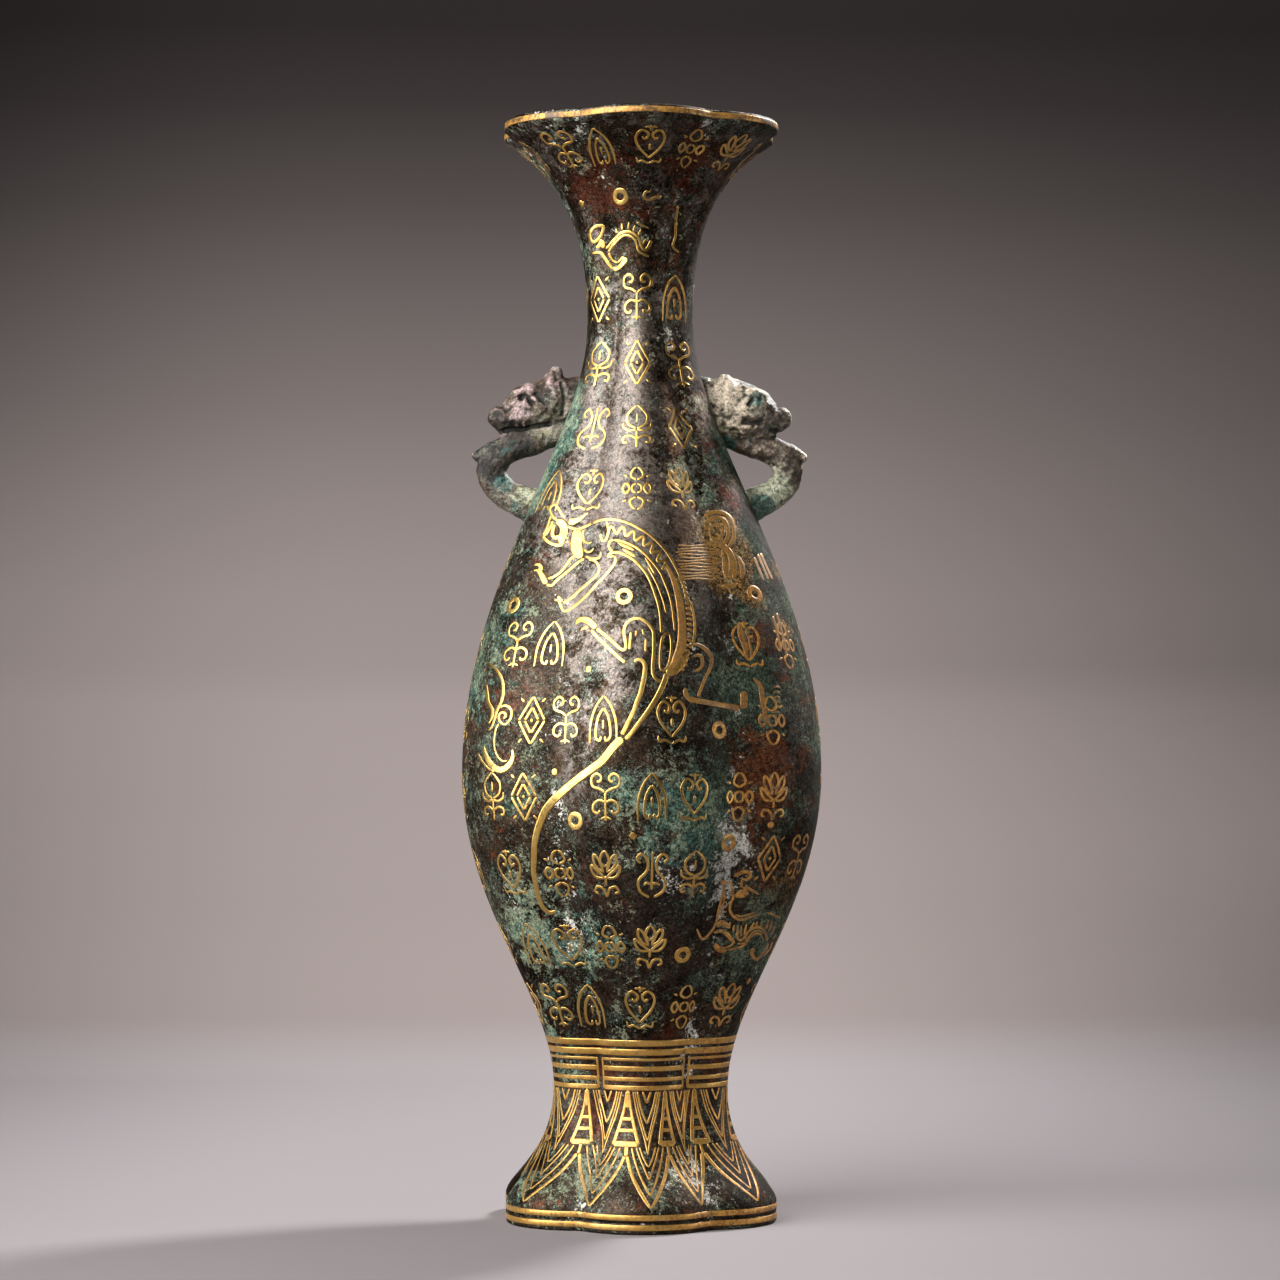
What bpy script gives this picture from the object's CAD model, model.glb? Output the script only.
# %% [markdown]
# A cast bronze vase of six lobes, with a beast-head handle on each side and gold let into the
# bronze. The lesson starts from the measured frame of the vase and dresses it: first the skin of
# the casting, then the gold, then the handles, and last the light and the camera.

# %% Load the frame
import math

import bpy
import numpy as np
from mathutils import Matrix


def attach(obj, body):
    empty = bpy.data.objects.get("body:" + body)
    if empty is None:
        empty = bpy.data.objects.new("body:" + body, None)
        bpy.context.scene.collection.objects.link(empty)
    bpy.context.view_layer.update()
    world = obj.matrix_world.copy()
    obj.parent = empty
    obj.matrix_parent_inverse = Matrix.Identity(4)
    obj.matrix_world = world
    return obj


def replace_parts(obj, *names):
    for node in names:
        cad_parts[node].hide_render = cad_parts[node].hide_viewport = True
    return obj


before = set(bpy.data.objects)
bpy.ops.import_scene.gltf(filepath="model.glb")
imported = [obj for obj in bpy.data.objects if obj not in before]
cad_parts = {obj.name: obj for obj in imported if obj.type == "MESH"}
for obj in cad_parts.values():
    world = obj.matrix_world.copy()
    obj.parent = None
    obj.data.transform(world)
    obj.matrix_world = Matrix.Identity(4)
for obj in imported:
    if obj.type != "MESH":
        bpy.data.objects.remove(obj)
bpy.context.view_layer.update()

MM = 0.001

# %% [markdown]
# The body is a surface of revolution with a lobed section. Its outline is four Bezier curves
# between the foot, the waist, the belly, the neck and the lip, so a few radii and heights shape
# it all. Everything that lies on the body asks this one surface where it is.

# %% Driving sizes in millimetres
HEIGHT = 400
NECK = (20.6, 328)
BELLY = (69.6, 163)
WAIST = (33.8, 47)
FOOT = (52.4, 8.2)
LIP = (53.2, HEIGHT - 3.6)
LIP_WALL = 3
FOOT_WALL = 4.6
FOOT_RIM_WALL = 2.7
PLATE_LEDGE = 7
LOBES = 6
LOBE = 2 * math.pi / LOBES


def bezier(start, start_handle, end_handle, end, count=90):
    """Cubic Bezier: the four points weighted by the Bernstein polynomials of t from 0 to 1."""
    t = np.linspace(0, 1, count)[:, None]
    weights = [(1 - t) ** 3, 3 * (1 - t) ** 2 * t, 3 * (1 - t) * t ** 2, t ** 3]
    corners = [start, start_handle, end_handle, end]
    return sum(weight * np.array(corner, float) for weight, corner in zip(weights, corners))


def flowing_outline():
    """Outline from the top of the foot rim to the underside of the lip: crest radius, height."""
    foot_rise = WAIST[1] - FOOT[1]
    low_rise = BELLY[1] - WAIST[1]
    high_rise = NECK[1] - BELLY[1]
    mouth_rise = LIP[1] - NECK[1]
    foot_spread = FOOT[0] - WAIST[0]
    mouth_spread = LIP[0] - NECK[0]
    spans = [
        bezier(FOOT, (FOOT[0] - 0.1 * foot_spread, FOOT[1] + 0.18 * foot_rise),
               (WAIST[0], WAIST[1] - 0.61 * foot_rise), WAIST),
        bezier(WAIST, (WAIST[0], WAIST[1] + 0.3 * low_rise),
               (BELLY[0], BELLY[1] - 0.44 * low_rise), BELLY),
        bezier(BELLY, (BELLY[0], BELLY[1] + 0.42 * high_rise),
               (NECK[0], NECK[1] - 0.26 * high_rise), NECK),
        bezier(NECK, (NECK[0], NECK[1] + 0.25 * mouth_rise),
               (LIP[0] - 0.98 * mouth_spread, LIP[1] - 0.27 * mouth_rise), LIP),
    ]
    return np.vstack([spans[0]] + [span[1:] for span in spans[1:]])


OUTLINE = flowing_outline()
print("outline points:", len(OUTLINE))


# %% Section of the lobes
def smooth_step(value, low, high):
    """Rises from 0 to 1 between low and high as 3t^2 - 2t^3."""
    t = np.clip((value - low) / (high - low), 0, 1)
    return t * t * (3 - 2 * t)


def crest_radius(height):
    """Radius of the lobe crests at a height, read off the outline."""
    return np.interp(height, np.r_[0, OUTLINE[:, 1], HEIGHT], np.r_[FOOT[0], OUTLINE[:, 0], LIP[0]])


def groove_share(height):
    """Radius in a groove as a share of the crest radius: deep at foot and lip, soft on the belly."""
    low = 0.885 + 0.03 * smooth_step(height, WAIST[1], BELLY[1])
    high = 0.915 - 0.015 * smooth_step(height, BELLY[1], HEIGHT)
    return np.where(height < BELLY[1], low, high)


def groove_softness(height):
    """Half width of the rounded bottom of a groove, in radians."""
    return 0.03 + 0.06 * np.exp(-((height - 190) / 70) ** 2)


def lobe_share(turn, height):
    """Each lobe is an arc of one circle whose centre lies off the axis; near the groove the angle
    from the crest is bent over by a hyperbola, which rounds the bottom of the groove."""
    from_crest = np.abs(turn - LOBE * np.round(turn / LOBE))
    half = LOBE / 2
    soft = groove_softness(height)
    from_groove = np.sqrt((half - from_crest) ** 2 + soft ** 2) - soft
    from_crest = half - from_groove * half / (np.sqrt(half ** 2 + soft ** 2) - soft)
    groove = groove_share(height)
    centre = (1 - groove ** 2) / (2 * (1 - groove * math.cos(half)))
    across = centre * np.sin(from_crest)
    return centre * np.cos(from_crest) + np.sqrt((1 - centre) ** 2 - across ** 2)


def hand_waver(turn, height):
    """Slow waves of a quarter of a millimetre, as a hand-finished casting has."""
    waves = (np.sin(3 * turn + height / 31) + np.sin(5 * turn - height / 19 + 2)
             + np.sin(2 * turn + height / 47 + 1))
    fade = smooth_step(height, 12, 40) * (1 - smooth_step(height, 370, 392))
    return -0.12 * (1 + waves / 3) * fade


def on_body(turn, height):
    """Points of the outer skin: turn in radians from the front crest, height in millimetres."""
    turn, height = np.broadcast_arrays(np.asarray(turn, float), np.asarray(height, float))
    radius = crest_radius(height) * lobe_share(turn, height) + hand_waver(turn, height)
    return np.stack([radius * np.sin(turn), -radius * np.cos(turn), height], axis=-1)


def body_normal(turn, height):
    """Outward unit normal: cross product of the slopes along turn and height."""
    step = 0.02
    along_turn = on_body(turn + step / 50, height) - on_body(turn - step / 50, height)
    along_height = on_body(turn, height + step) - on_body(turn, height - step)
    normal = np.cross(along_turn, along_height)
    return normal / np.linalg.norm(normal, axis=-1, keepdims=True)


print("belly half width seen from the front:", round(float(on_body(np.linspace(0, 3, 900), 163)[:, 0].max()), 1))


# %% [markdown]
# Every finish is made of nodes that read Object coordinates, and all objects sit at the origin,
# so a patch of patina runs on from the bronze over the gold as it does on the real vase. The
# fields of patina are therefore one function, called by each finish.

# %% Node helpers
def node(tree, kind, inputs=None, **settings):
    """Adds a node, sets its options, and fills or links its inputs."""
    made = tree.nodes.new(kind)
    for name, value in settings.items():
        setattr(made, name, value)
    for name, value in (inputs or {}).items():
        if isinstance(value, bpy.types.NodeSocket):
            tree.links.new(value, made.inputs[name])
        else:
            made.inputs[name].default_value = value
    return made


def new_finish(name):
    """An empty material with its shader and the Object coordinates."""
    material = bpy.data.materials.new(name)
    material.use_nodes = True
    tree = material.node_tree
    tree.nodes.clear()
    shader = node(tree, "ShaderNodeBsdfPrincipled")
    output = node(tree, "ShaderNodeOutputMaterial", {"Surface": shader.outputs["BSDF"]})
    place = node(tree, "ShaderNodeTexCoord").outputs["Object"]
    return material, tree, shader, output, place


def noise(tree, place, scale, detail=4, roughness=0.55, distortion=0.0):
    """Value of a noise whose grains are about 1 / scale metres wide."""
    return node(tree, "ShaderNodeTexNoise", {
        "Vector": place, "Scale": scale, "Detail": detail, "Roughness": roughness,
        "Distortion": distortion}).outputs["Fac"]


def shifted(tree, place, offset):
    """The same coordinates read from another spot, so that two fields don't match."""
    return node(tree, "ShaderNodeMapping", {"Vector": place, "Location": offset}).outputs["Vector"]


def band(tree, value, low, high, from_side=0.0, to_side=1.0):
    """Turns a value between low and high into a soft step."""
    return node(tree, "ShaderNodeMapRange", {
        "Value": value, "From Min": low, "From Max": high, "To Min": from_side, "To Max": to_side},
        interpolation_type="SMOOTHSTEP").outputs["Result"]


def maths(tree, operation, first, second=0.0):
    """One arithmetic step on two numbers or sockets."""
    made = node(tree, "ShaderNodeMath", {0: first, 1: second}, operation=operation)
    return made.outputs["Value"]


def blend(tree, share, first, second):
    """Mixes two colours by a share."""
    made = node(tree, "ShaderNodeMix", data_type="RGBA")
    for index, value in ((0, share), (6, first), (7, second)):
        if isinstance(value, bpy.types.NodeSocket):
            tree.links.new(value, made.inputs[index])
        else:
            made.inputs[index].default_value = value
    return made.outputs[2]


def scaled(tree, colour, factor):
    """A colour made lighter or darker by a factor."""
    made = node(tree, "ShaderNodeVectorMath", {0: colour}, operation="SCALE")
    tree.links.new(factor, made.inputs["Scale"])
    return made.outputs["Vector"]


def attribute(tree, name):
    """A number stored on the mesh."""
    return node(tree, "ShaderNodeAttribute", attribute_name=name).outputs["Fac"]


# %% [markdown]
# Old bronze carries layers: a dark brown skin with a purple cast, red-brown cuprite, grey-green
# malachite in broken blotches over it, and a pale crust that gathers along the grooves. Each
# layer is a threshold on noise of several grains; a few named places on the vase have more of one
# layer or less, because the vase lay in the ground on one side.

# %% Places where a layer is thick or thin
# Each place: turn from the front in degrees, height, reach in millimetres, and how much it adds.
GREEN_PLACES = [
    (-25, 378, 18, -0.10), (22, 378, 20, -0.10), (-15, 55, 16, -0.08), (25, 55, 14, -0.06),
    (-9, 160, 10, 0.09), (-20, 172, 8, 0.06),
    (-82, 290, 13, 0.24), (-80, 270, 12, 0.20), (-26, 292, 12, -0.12), (-22, 268, 14, -0.12),
    (-34, 246, 10, -0.08), (4, 286, 11, -0.08), (2, 252, 12, -0.05), (30, 214, 30, 0.03),
    (52, 245, 6, 0.12), (60, 275, 9, 0.05), (52, 292, 12, 0.02), (58, 106, 14, 0.06), (66, 222, 6, 0.10), (60, 200, 5, 0.10), (70, 176, 7, 0.08), (24, 192, 16, 0.08), (43, 200, 16, 0.07), (48, 180, 26, 0.04),
    (13, 150, 20, 0.10), (-36, 104, 20, 0.07), (-54, 140, 12, -0.05), (42, 100, 24, 0.06), (-20, 18, 26, -0.05), (24, 18, 22, -0.05),
    (-3, 212, 34, -0.13), (-14, 175, 26, -0.09), (-6, 325, 22, -0.06), (0, 95, 18, -0.05),
    (28, 262, 18, 0.03), (-62, 205, 22, 0.05), (150, 200, 40, 0.05), (205, 120, 40, 0.06)]
RED_PLACES = [
    (24, 305, 12, 0.05), (41, 211, 6, 0.14), (18, 238, 9, 0.08), (60, 190, 20, 0.05), (52, 128, 16, 0.06), (30, 152, 16, 0.09), (38, 168, 13, 0.09),
    (44, 278, 5, 0.12), (50, 262, 4, 0.12), (33, 296, 5, 0.08), (22, 268, 14, 0.04),
    (-50, 180, 18, 0.05), (-30, 335, 14, 0.03), (8, 372, 20, 0.04), (-30, 380, 16, 0.04), (35, 384, 14, 0.05), (0, 55, 20, 0.05), (-40, 55, 16, 0.05), (-2, 205, 34, -0.12),
    (-30, 290, 26, -0.10), (0, 330, 20, -0.05),
    (45, 60, 16, 0.05), (190, 210, 40, 0.06)]
PALE_PLACES = [(-36, 18, 12, 0.08), (-2, 15, 14, 0.03), (22, 16, 12, 0.03),
               (-42, 104, 16, 0.05), (-50, 126, 10, 0.05), (52, 112, 14, 0.05),
               (-84, 290, 9, 0.07), (-78, 268, 8, 0.06), (70, 262, 5, 0.08), (58, 290, 8, 0.03)]
OCHRE_PLACES = [
    (37, 249, 7, 0.26), (41, 240, 8, 0.30), (34, 232, 7, 0.20), (24, 240, 9, 0.10), (45, 224, 4, 0.20),
    (56, 214, 5, 0.24), (66, 236, 4, 0.18), (58, 268, 4, 0.12), (52, 180, 12, 0.05), (56, 122, 10, 0.10), (217, 238, 12, 0.2)]
WORN_PLACES = [(4, 296, 16, 0.05), (2, 264, 16, 0.05), (6, 335, 12, 0.03), (2, 168, 20, -0.08),
               (-32, 176, 16, -0.05), (42, 285, 20, -0.05), (10, 374, 22, -0.07), (-34, 384, 16, -0.05)]
CRUST_PLACES = [
    (30, 138, 12, 0.085), (27, 120, 9, 0.07), (9, 127, 8, 0.09), (29, 62, 9, 0.085),
    (24, 17, 13, 0.07), (-8, 14, 18, 0.04), (-44, 396, 9, 0.07), (14, 206, 6, 0.06),
    (27, 322, 8, 0.07), (-30, 108, 8, 0.06), (-52, 116, 7, 0.07), (210, 140, 16, 0.07),
    (-24, 150, 7, 0.05), (62, 90, 14, 0.05), (150, 60, 14, 0.06)]


def near_spots(tree, place, spots):
    """Sum over spots (point, reach, amount): the amount fades to nothing at twice the reach."""
    total = None
    for point, reach, amount in spots:
        gap = node(tree, "ShaderNodeVectorMath", {0: place, 1: tuple(np.array(point) * MM)}, operation="DISTANCE")
        share = band(tree, gap.outputs["Value"], 0, 2 * reach * MM, amount, 0.0)
        total = share if total is None else maths(tree, "ADD", total, share)
    return total


def near_places(tree, place, places):
    """The same for places on the skin, given by turn and height."""
    return near_spots(tree, place, [(on_body(math.radians(turn), height), reach, amount)
                                    for turn, height, reach, amount in places])


def mixed_noise(tree, place, offset, scales, weights, distortion=0.4):
    """Weighted sum of noises of several grains, read from a spot of its own."""
    spot = shifted(tree, place, offset)
    total = None
    for scale, weight in zip(scales, weights):
        part = maths(tree, "MULTIPLY", noise(tree, spot, scale, 8, 0.68, distortion), weight)
        total = part if total is None else maths(tree, "ADD", total, part)
    return total


def patina_group():
    """One group of nodes with the shares of all layers, used by every finish of the vase."""
    group = bpy.data.node_groups.new("patina_fields", "ShaderNodeTree")
    group.interface.new_socket("Place", in_out="INPUT", socket_type="NodeSocketVector")
    for name in ("Green", "Pale", "Red", "Crust", "Fine", "Medium", "Coarse", "Specks", "Salt",
                 "Grain", "Buried", "Worn", "Ochre"):
        group.interface.new_socket(name, in_out="OUTPUT", socket_type="NodeSocketFloat")
    place = group.nodes.new("NodeGroupInput").outputs["Place"]
    coarse = noise(group, place, 26, 9, 0.7, 0.5)
    medium = noise(group, shifted(group, place, (3, 1, 2)), 90, 9, 0.72, 0.5)
    fine = noise(group, shifted(group, place, (7, 5, 1)), 650, 7, 0.7)
    green = mixed_noise(group, place, (1, 9, 4), (30, 110, 420), (0.42, 0.33, 0.25))
    green = maths(group, "ADD", green, near_places(group, place, GREEN_PLACES))
    pale = mixed_noise(group, place, (5, 2, 8), (60, 240, 900), (0.3, 0.35, 0.35))
    pale = maths(group, "ADD", pale, maths(group, "MULTIPLY", band(group, green, 0.45, 0.60), 0.05))
    pale = maths(group, "ADD", pale, near_places(group, place, PALE_PLACES))
    red = mixed_noise(group, place, (11, 4, 9), (38, 150, 500), (0.4, 0.35, 0.25), 0.7)
    red = maths(group, "ADD", red, near_places(group, place, RED_PLACES))
    crust = mixed_noise(group, place, (2, 8, 5), (110, 330, 900), (0.36, 0.36, 0.28), 0.6)
    crust = maths(group, "ADD", crust, near_places(group, place, CRUST_PLACES))
    specks = mixed_noise(group, place, (4, 6, 3), (420, 1300), (0.5, 0.5))
    salt = mixed_noise(group, place, (9, 3, 6), (120, 1500), (0.4, 0.6))
    salt = maths(group, "ADD", salt, maths(group, "MULTIPLY", band(group, green, 0.47, 0.60), 0.05))
    grain = mixed_noise(group, place, (6, 2, 7), (700, 1900), (0.45, 0.55))
    axes = node(group, "ShaderNodeSeparateXYZ", {"Vector": place})
    side = axes.outputs["X"]
    left_lobe = maths(group, "MULTIPLY", band(group, side, -0.034, -0.024, 1.0, 0.0),
                      band(group, axes.outputs["Z"], 0.225, 0.250, 1.0, 0.0))
    worn = mixed_noise(group, place, (8, 7, 2), (30, 190, 800), (0.42, 0.33, 0.25))
    worn = maths(group, "ADD", worn, near_places(group, place, WORN_PLACES))
    worn = maths(group, "MULTIPLY", band(group, worn, 0.462, 0.545), band(group, left_lobe, 0, 1, 1.0, 0.12))
    worn = maths(group, "MULTIPLY", worn, band(group, axes.outputs["Z"], 0.120, 0.205, 0.12, 1.0))
    ochre = mixed_noise(group, place, (3, 3, 9), (90, 420, 1100), (0.35, 0.35, 0.30))
    ochre = maths(group, "ADD", ochre, near_places(group, place, OCHRE_PLACES))
    leaning = maths(group, "ADD", maths(group, "MULTIPLY", side, 5.0), band(group, side, -0.062, -0.03, 0.42, 0.0))
    buried = band(group, maths(group, "ADD", coarse, leaning), 0.48, 0.72)
    output = group.nodes.new("NodeGroupOutput")
    results = {"Green": band(group, green, 0.53, 0.575), "Pale": band(group, pale, 0.545, 0.585),
               "Red": band(group, red, 0.54, 0.61), "Crust": crust, "Fine": fine,
               "Medium": medium, "Coarse": coarse,
               "Specks": band(group, specks, 0.425, 0.49, 1.0, 0.0),
               "Salt": band(group, salt, 0.535, 0.60), "Grain": grain, "Buried": buried,
               "Worn": maths(group, "MULTIPLY", worn, band(group, buried, 0, 1, 1.0, 0.15)),
               "Ochre": band(group, ochre, 0.57, 0.66)}
    for name, value in results.items():
        group.links.new(value, output.inputs[name])
    return group


PATINA = patina_group()


def patina_fields(tree, place):
    """The layers' shares at each point of a finish."""
    group = node(tree, "ShaderNodeGroup", node_tree=PATINA)
    tree.links.new(place, group.inputs["Place"])
    return {socket.name.lower(): socket for socket in group.outputs}


# %% Finishes of bronze and gold
BLACK_SKIN = (0.0060, 0.0040, 0.0026, 1)
BROWN_SKIN = (0.036, 0.0225, 0.0145, 1)
PURPLE_SKIN = (0.126, 0.097, 0.079, 1)
CUPRITE = (0.078, 0.020, 0.010, 1)
RUST = (0.135, 0.044, 0.017, 1)
DEEP_GREEN = (0.006, 0.016, 0.011, 1)
MALACHITE = (0.048, 0.128, 0.104, 1)
OLIVE = (0.052, 0.048, 0.024, 1)
OCHRE_DARK = (0.055, 0.026, 0.009, 1)
OCHRE = (0.30, 0.165, 0.045, 1)
PALE_GREEN = (0.25, 0.29, 0.19, 1)
CRUST = (0.50, 0.48, 0.42, 1)
SALT = (0.175, 0.265, 0.215, 1)


def bump(tree, height, strength, distance):
    """Normal bent by a height field; distance is in metres."""
    return node(tree, "ShaderNodeBump", {
        "Height": height, "Strength": strength, "Distance": distance}).outputs["Normal"]


def bronze_finish():
    """Patinated bronze of the casting."""
    material, tree, shader, output, place = new_finish("patinated_bronze")
    field = patina_fields(tree, place)
    skin = blend(tree, band(tree, field["medium"], 0.36, 0.60), BLACK_SKIN, BROWN_SKIN)
    skin = blend(tree, field["worn"], skin, PURPLE_SKIN)
    skin = blend(tree, band(tree, field["fine"], 0.57, 0.68, 0.0, 0.22), skin, PALE_GREEN)
    skin = blend(tree, maths(tree, "MULTIPLY", field["salt"], 0.42), skin, SALT)
    rust = blend(tree, field["buried"], CUPRITE, RUST)
    skin = blend(tree, maths(tree, "MULTIPLY", field["red"], 0.8), skin, rust)
    mineral = blend(tree, band(tree, field["fine"], 0.40, 0.60), DEEP_GREEN, MALACHITE)
    mineral = blend(tree, maths(tree, "MULTIPLY", field["buried"], 0.6), mineral, OLIVE)
    skin = blend(tree, maths(tree, "MULTIPLY", field["green"], 0.88), skin, mineral)
    ochre = blend(tree, band(tree, field["grain"], 0.44, 0.58), OCHRE_DARK, OCHRE)
    skin = blend(tree, maths(tree, "MULTIPLY", field["ochre"], 0.85), skin, ochre)
    pale = maths(tree, "MULTIPLY", field["pale"], band(tree, field["buried"], 0, 1, 0.50, 0.36))
    skin = blend(tree, pale, skin, PALE_GREEN)
    skin = blend(tree, maths(tree, "MULTIPLY", field["specks"], 0.7), skin, BLACK_SKIN)
    near_groove = band(tree, attribute(tree, "groove"), 0.6, 1.0, 0.0, 0.05)
    crusted = band(tree, maths(tree, "ADD", field["crust"], near_groove), 0.60, 0.64)
    skin = blend(tree, crusted, skin, CRUST)
    darker = band(tree, field["buried"], 0, 1, 0.26, 0.08)
    lighter = band(tree, field["buried"], 0, 1, 1.60, 1.15)
    skin = scaled(tree, skin, band(tree, field["grain"], 0.38, 0.62, darker, lighter))
    tree.links.new(skin, shader.inputs["Base Color"])
    grown = maths(tree, "MAXIMUM", maths(tree, "MAXIMUM", field["green"], crusted),
                  maths(tree, "MULTIPLY", field["pale"], 0.6))
    bare = maths(tree, "MULTIPLY", band(tree, grown, 0, 1, 0.93, 0.05), band(tree, field["buried"], 0, 1, 1.0, 0.15))
    bare = maths(tree, "MULTIPLY", bare, band(tree, field["ochre"], 0, 1, 1.0, 0.2))
    tree.links.new(bare, shader.inputs["Metallic"])
    shader.inputs["Specular Tint"].default_value = (0.42, 0.29, 0.19, 1)
    tree.links.new(maths(tree, "MULTIPLY", field["worn"], 0.55), shader.inputs["Coat Weight"])
    shader.inputs["Coat Roughness"].default_value = 0.34
    rough = maths(tree, "ADD", band(tree, grown, 0, 1, 0.35, 0.58),
                  maths(tree, "MULTIPLY", field["fine"], 0.18))
    rough = maths(tree, "ADD", rough, maths(tree, "MULTIPLY", field["buried"], 0.24))
    tree.links.new(band(tree, field["buried"], 0, 1, 0.3, 0.1), shader.inputs["Specular IOR Level"])
    tree.links.new(rough, shader.inputs["Roughness"])
    lumps = maths(tree, "ADD", maths(tree, "MULTIPLY", grown, 0.7),
                  maths(tree, "ADD", field["grain"], maths(tree, "MULTIPLY", field["medium"], 0.5)))
    tree.links.new(bump(tree, lumps, 0.60, 0.0004), shader.inputs["Normal"])
    return material


def gold_finish(name, worn, dim=0.0):
    """Gold leaf-thick sheet; worn is how far the patina has crept over it, and dim how dull it has
    gone where it would otherwise be bright."""
    material, tree, shader, output, place = new_finish(name)
    field = patina_fields(tree, place)
    bright = blend(tree, band(tree, field["medium"], 0.35, 0.65), (0.565, 0.380, 0.122, 1), (0.47, 0.272, 0.062, 1))
    dull = blend(tree, band(tree, field["fine"], 0.35, 0.6), (0.18, 0.064, 0.009, 1), (0.47, 0.225, 0.038, 1))
    low = node(tree, "ShaderNodeSeparateXYZ", {"Vector": place}).outputs["Z"]
    right = node(tree, "ShaderNodeSeparateXYZ", {"Vector": place}).outputs["X"]
    right = band(tree, right, -0.01, 0.01)
    tarnish = maths(tree, "MAXIMUM", maths(tree, "MULTIPLY", field["buried"], right), band(tree, low, 0.060, 0.075, 0.42, 0.0))
    tarnish = maths(tree, "MAXIMUM", tarnish, band(tree, low, 0.390, 0.396, dim, max(dim, 0.8)))
    colour = blend(tree, tarnish, bright, dull)
    grown = maths(tree, "MAXIMUM", maths(tree, "MULTIPLY", field["pale"], 0.7),
                  band(tree, field["crust"], 0.60, 0.66))
    grown = maths(tree, "MAXIMUM", grown, maths(tree, "MULTIPLY", tarnish, band(tree, field["grain"], 0.50, 0.58)))
    grown = maths(tree, "MAXIMUM", grown, band(tree, field["fine"], 0.47, 0.55, 0.0, 0.85 * dim))
    lip_wear = maths(tree, "MULTIPLY", band(tree, low, 0.394, 0.396), band(tree, field["medium"], 0.49, 0.57))
    specks = maths(tree, "MULTIPLY", maths(tree, "MAXIMUM", grown, lip_wear), worn)
    colour = blend(tree, specks, colour, BROWN_SKIN)
    tree.links.new(colour, shader.inputs["Base Color"])
    bare = maths(tree, "MULTIPLY", band(tree, specks, 0, 1, 1.0, 0.3), band(tree, tarnish, 0, 1, 1.0, 0.45))
    tree.links.new(bare, shader.inputs["Metallic"])
    rough = maths(tree, "ADD", band(tree, tarnish, 0, 1, 0.26, 0.40),
                  maths(tree, "MULTIPLY", field["fine"], 0.15))
    tree.links.new(rough, shader.inputs["Roughness"])
    tree.links.new(bump(tree, field["fine"], 0.4, 0.0002), shader.inputs["Normal"])
    return material


# Spots of the handles, seen from the side: distance from the axis, 0, height; reach; amount.
PALE_SPOTS = [
    ((-44, 0, 294.5), 4, 0.42), ((-41, 0, 302), 3.5, 0.35), ((-31.5, 0, 305), 3.5, 0.45),
    ((-50, 0, 286.5), 2, 0.30), ((-36, 0, 288.6), 3, 0.30), ((-41, 0, 264.5), 4, 0.45),
    ((-43, 0, 280), 7, -0.60), ((-56, 0, 271), 6, -0.45), ((-35, 0, 296), 4, -0.25),
    ((31.5, 0, 299), 8, 0.60), ((48.5, 0, 267.5), 6, 0.75), ((39, 0, 263), 3, 0.30), ((50, 0, 276), 4, 0.20),
    ((49, 0, 291), 3, -0.40), ((45.5, 0, 296), 4, -0.20), ((42, 0, 285), 5, 0.05), ((56, 0, 272), 4, -0.20),
    ((29, 0, 304), 5, 0.25)]
TEAL_SPOTS = [
    ((-50.5, 0, 268), 3.2, 0.24), ((-45, 0, 262), 4, 0.12), ((-43, 0, 281), 6, -0.06),
    ((42.6, 0, 299.4), 2.6, 0.40), ((31.8, 0, 283), 3, 0.30), ((45, 0, 259.5), 4.5, 0.34),
    ((32.5, 0, 300), 6, -0.12), ((-44, 0, 294), 6, -0.12)]
DARK_SPOTS = [((-44, 0, 281.5), 6, 0.8), ((-57, 0, 274), 6, 0.8), ((-50, 0, 289), 3, 0.5),
              ((-40, 0, 258), 4, 0.5), ((48, 0, 289), 5, 0.5), ((57, 0, 270), 5, 0.5)]
OLIVE_SPOTS = [
    ((31, 0, 288), 4, 0.8), ((-41, 0, 264.5), 4, 0.8), ((-36, 0, 288.6), 3, 0.7), ((44, 0, 301), 3, 0.5)]


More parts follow.
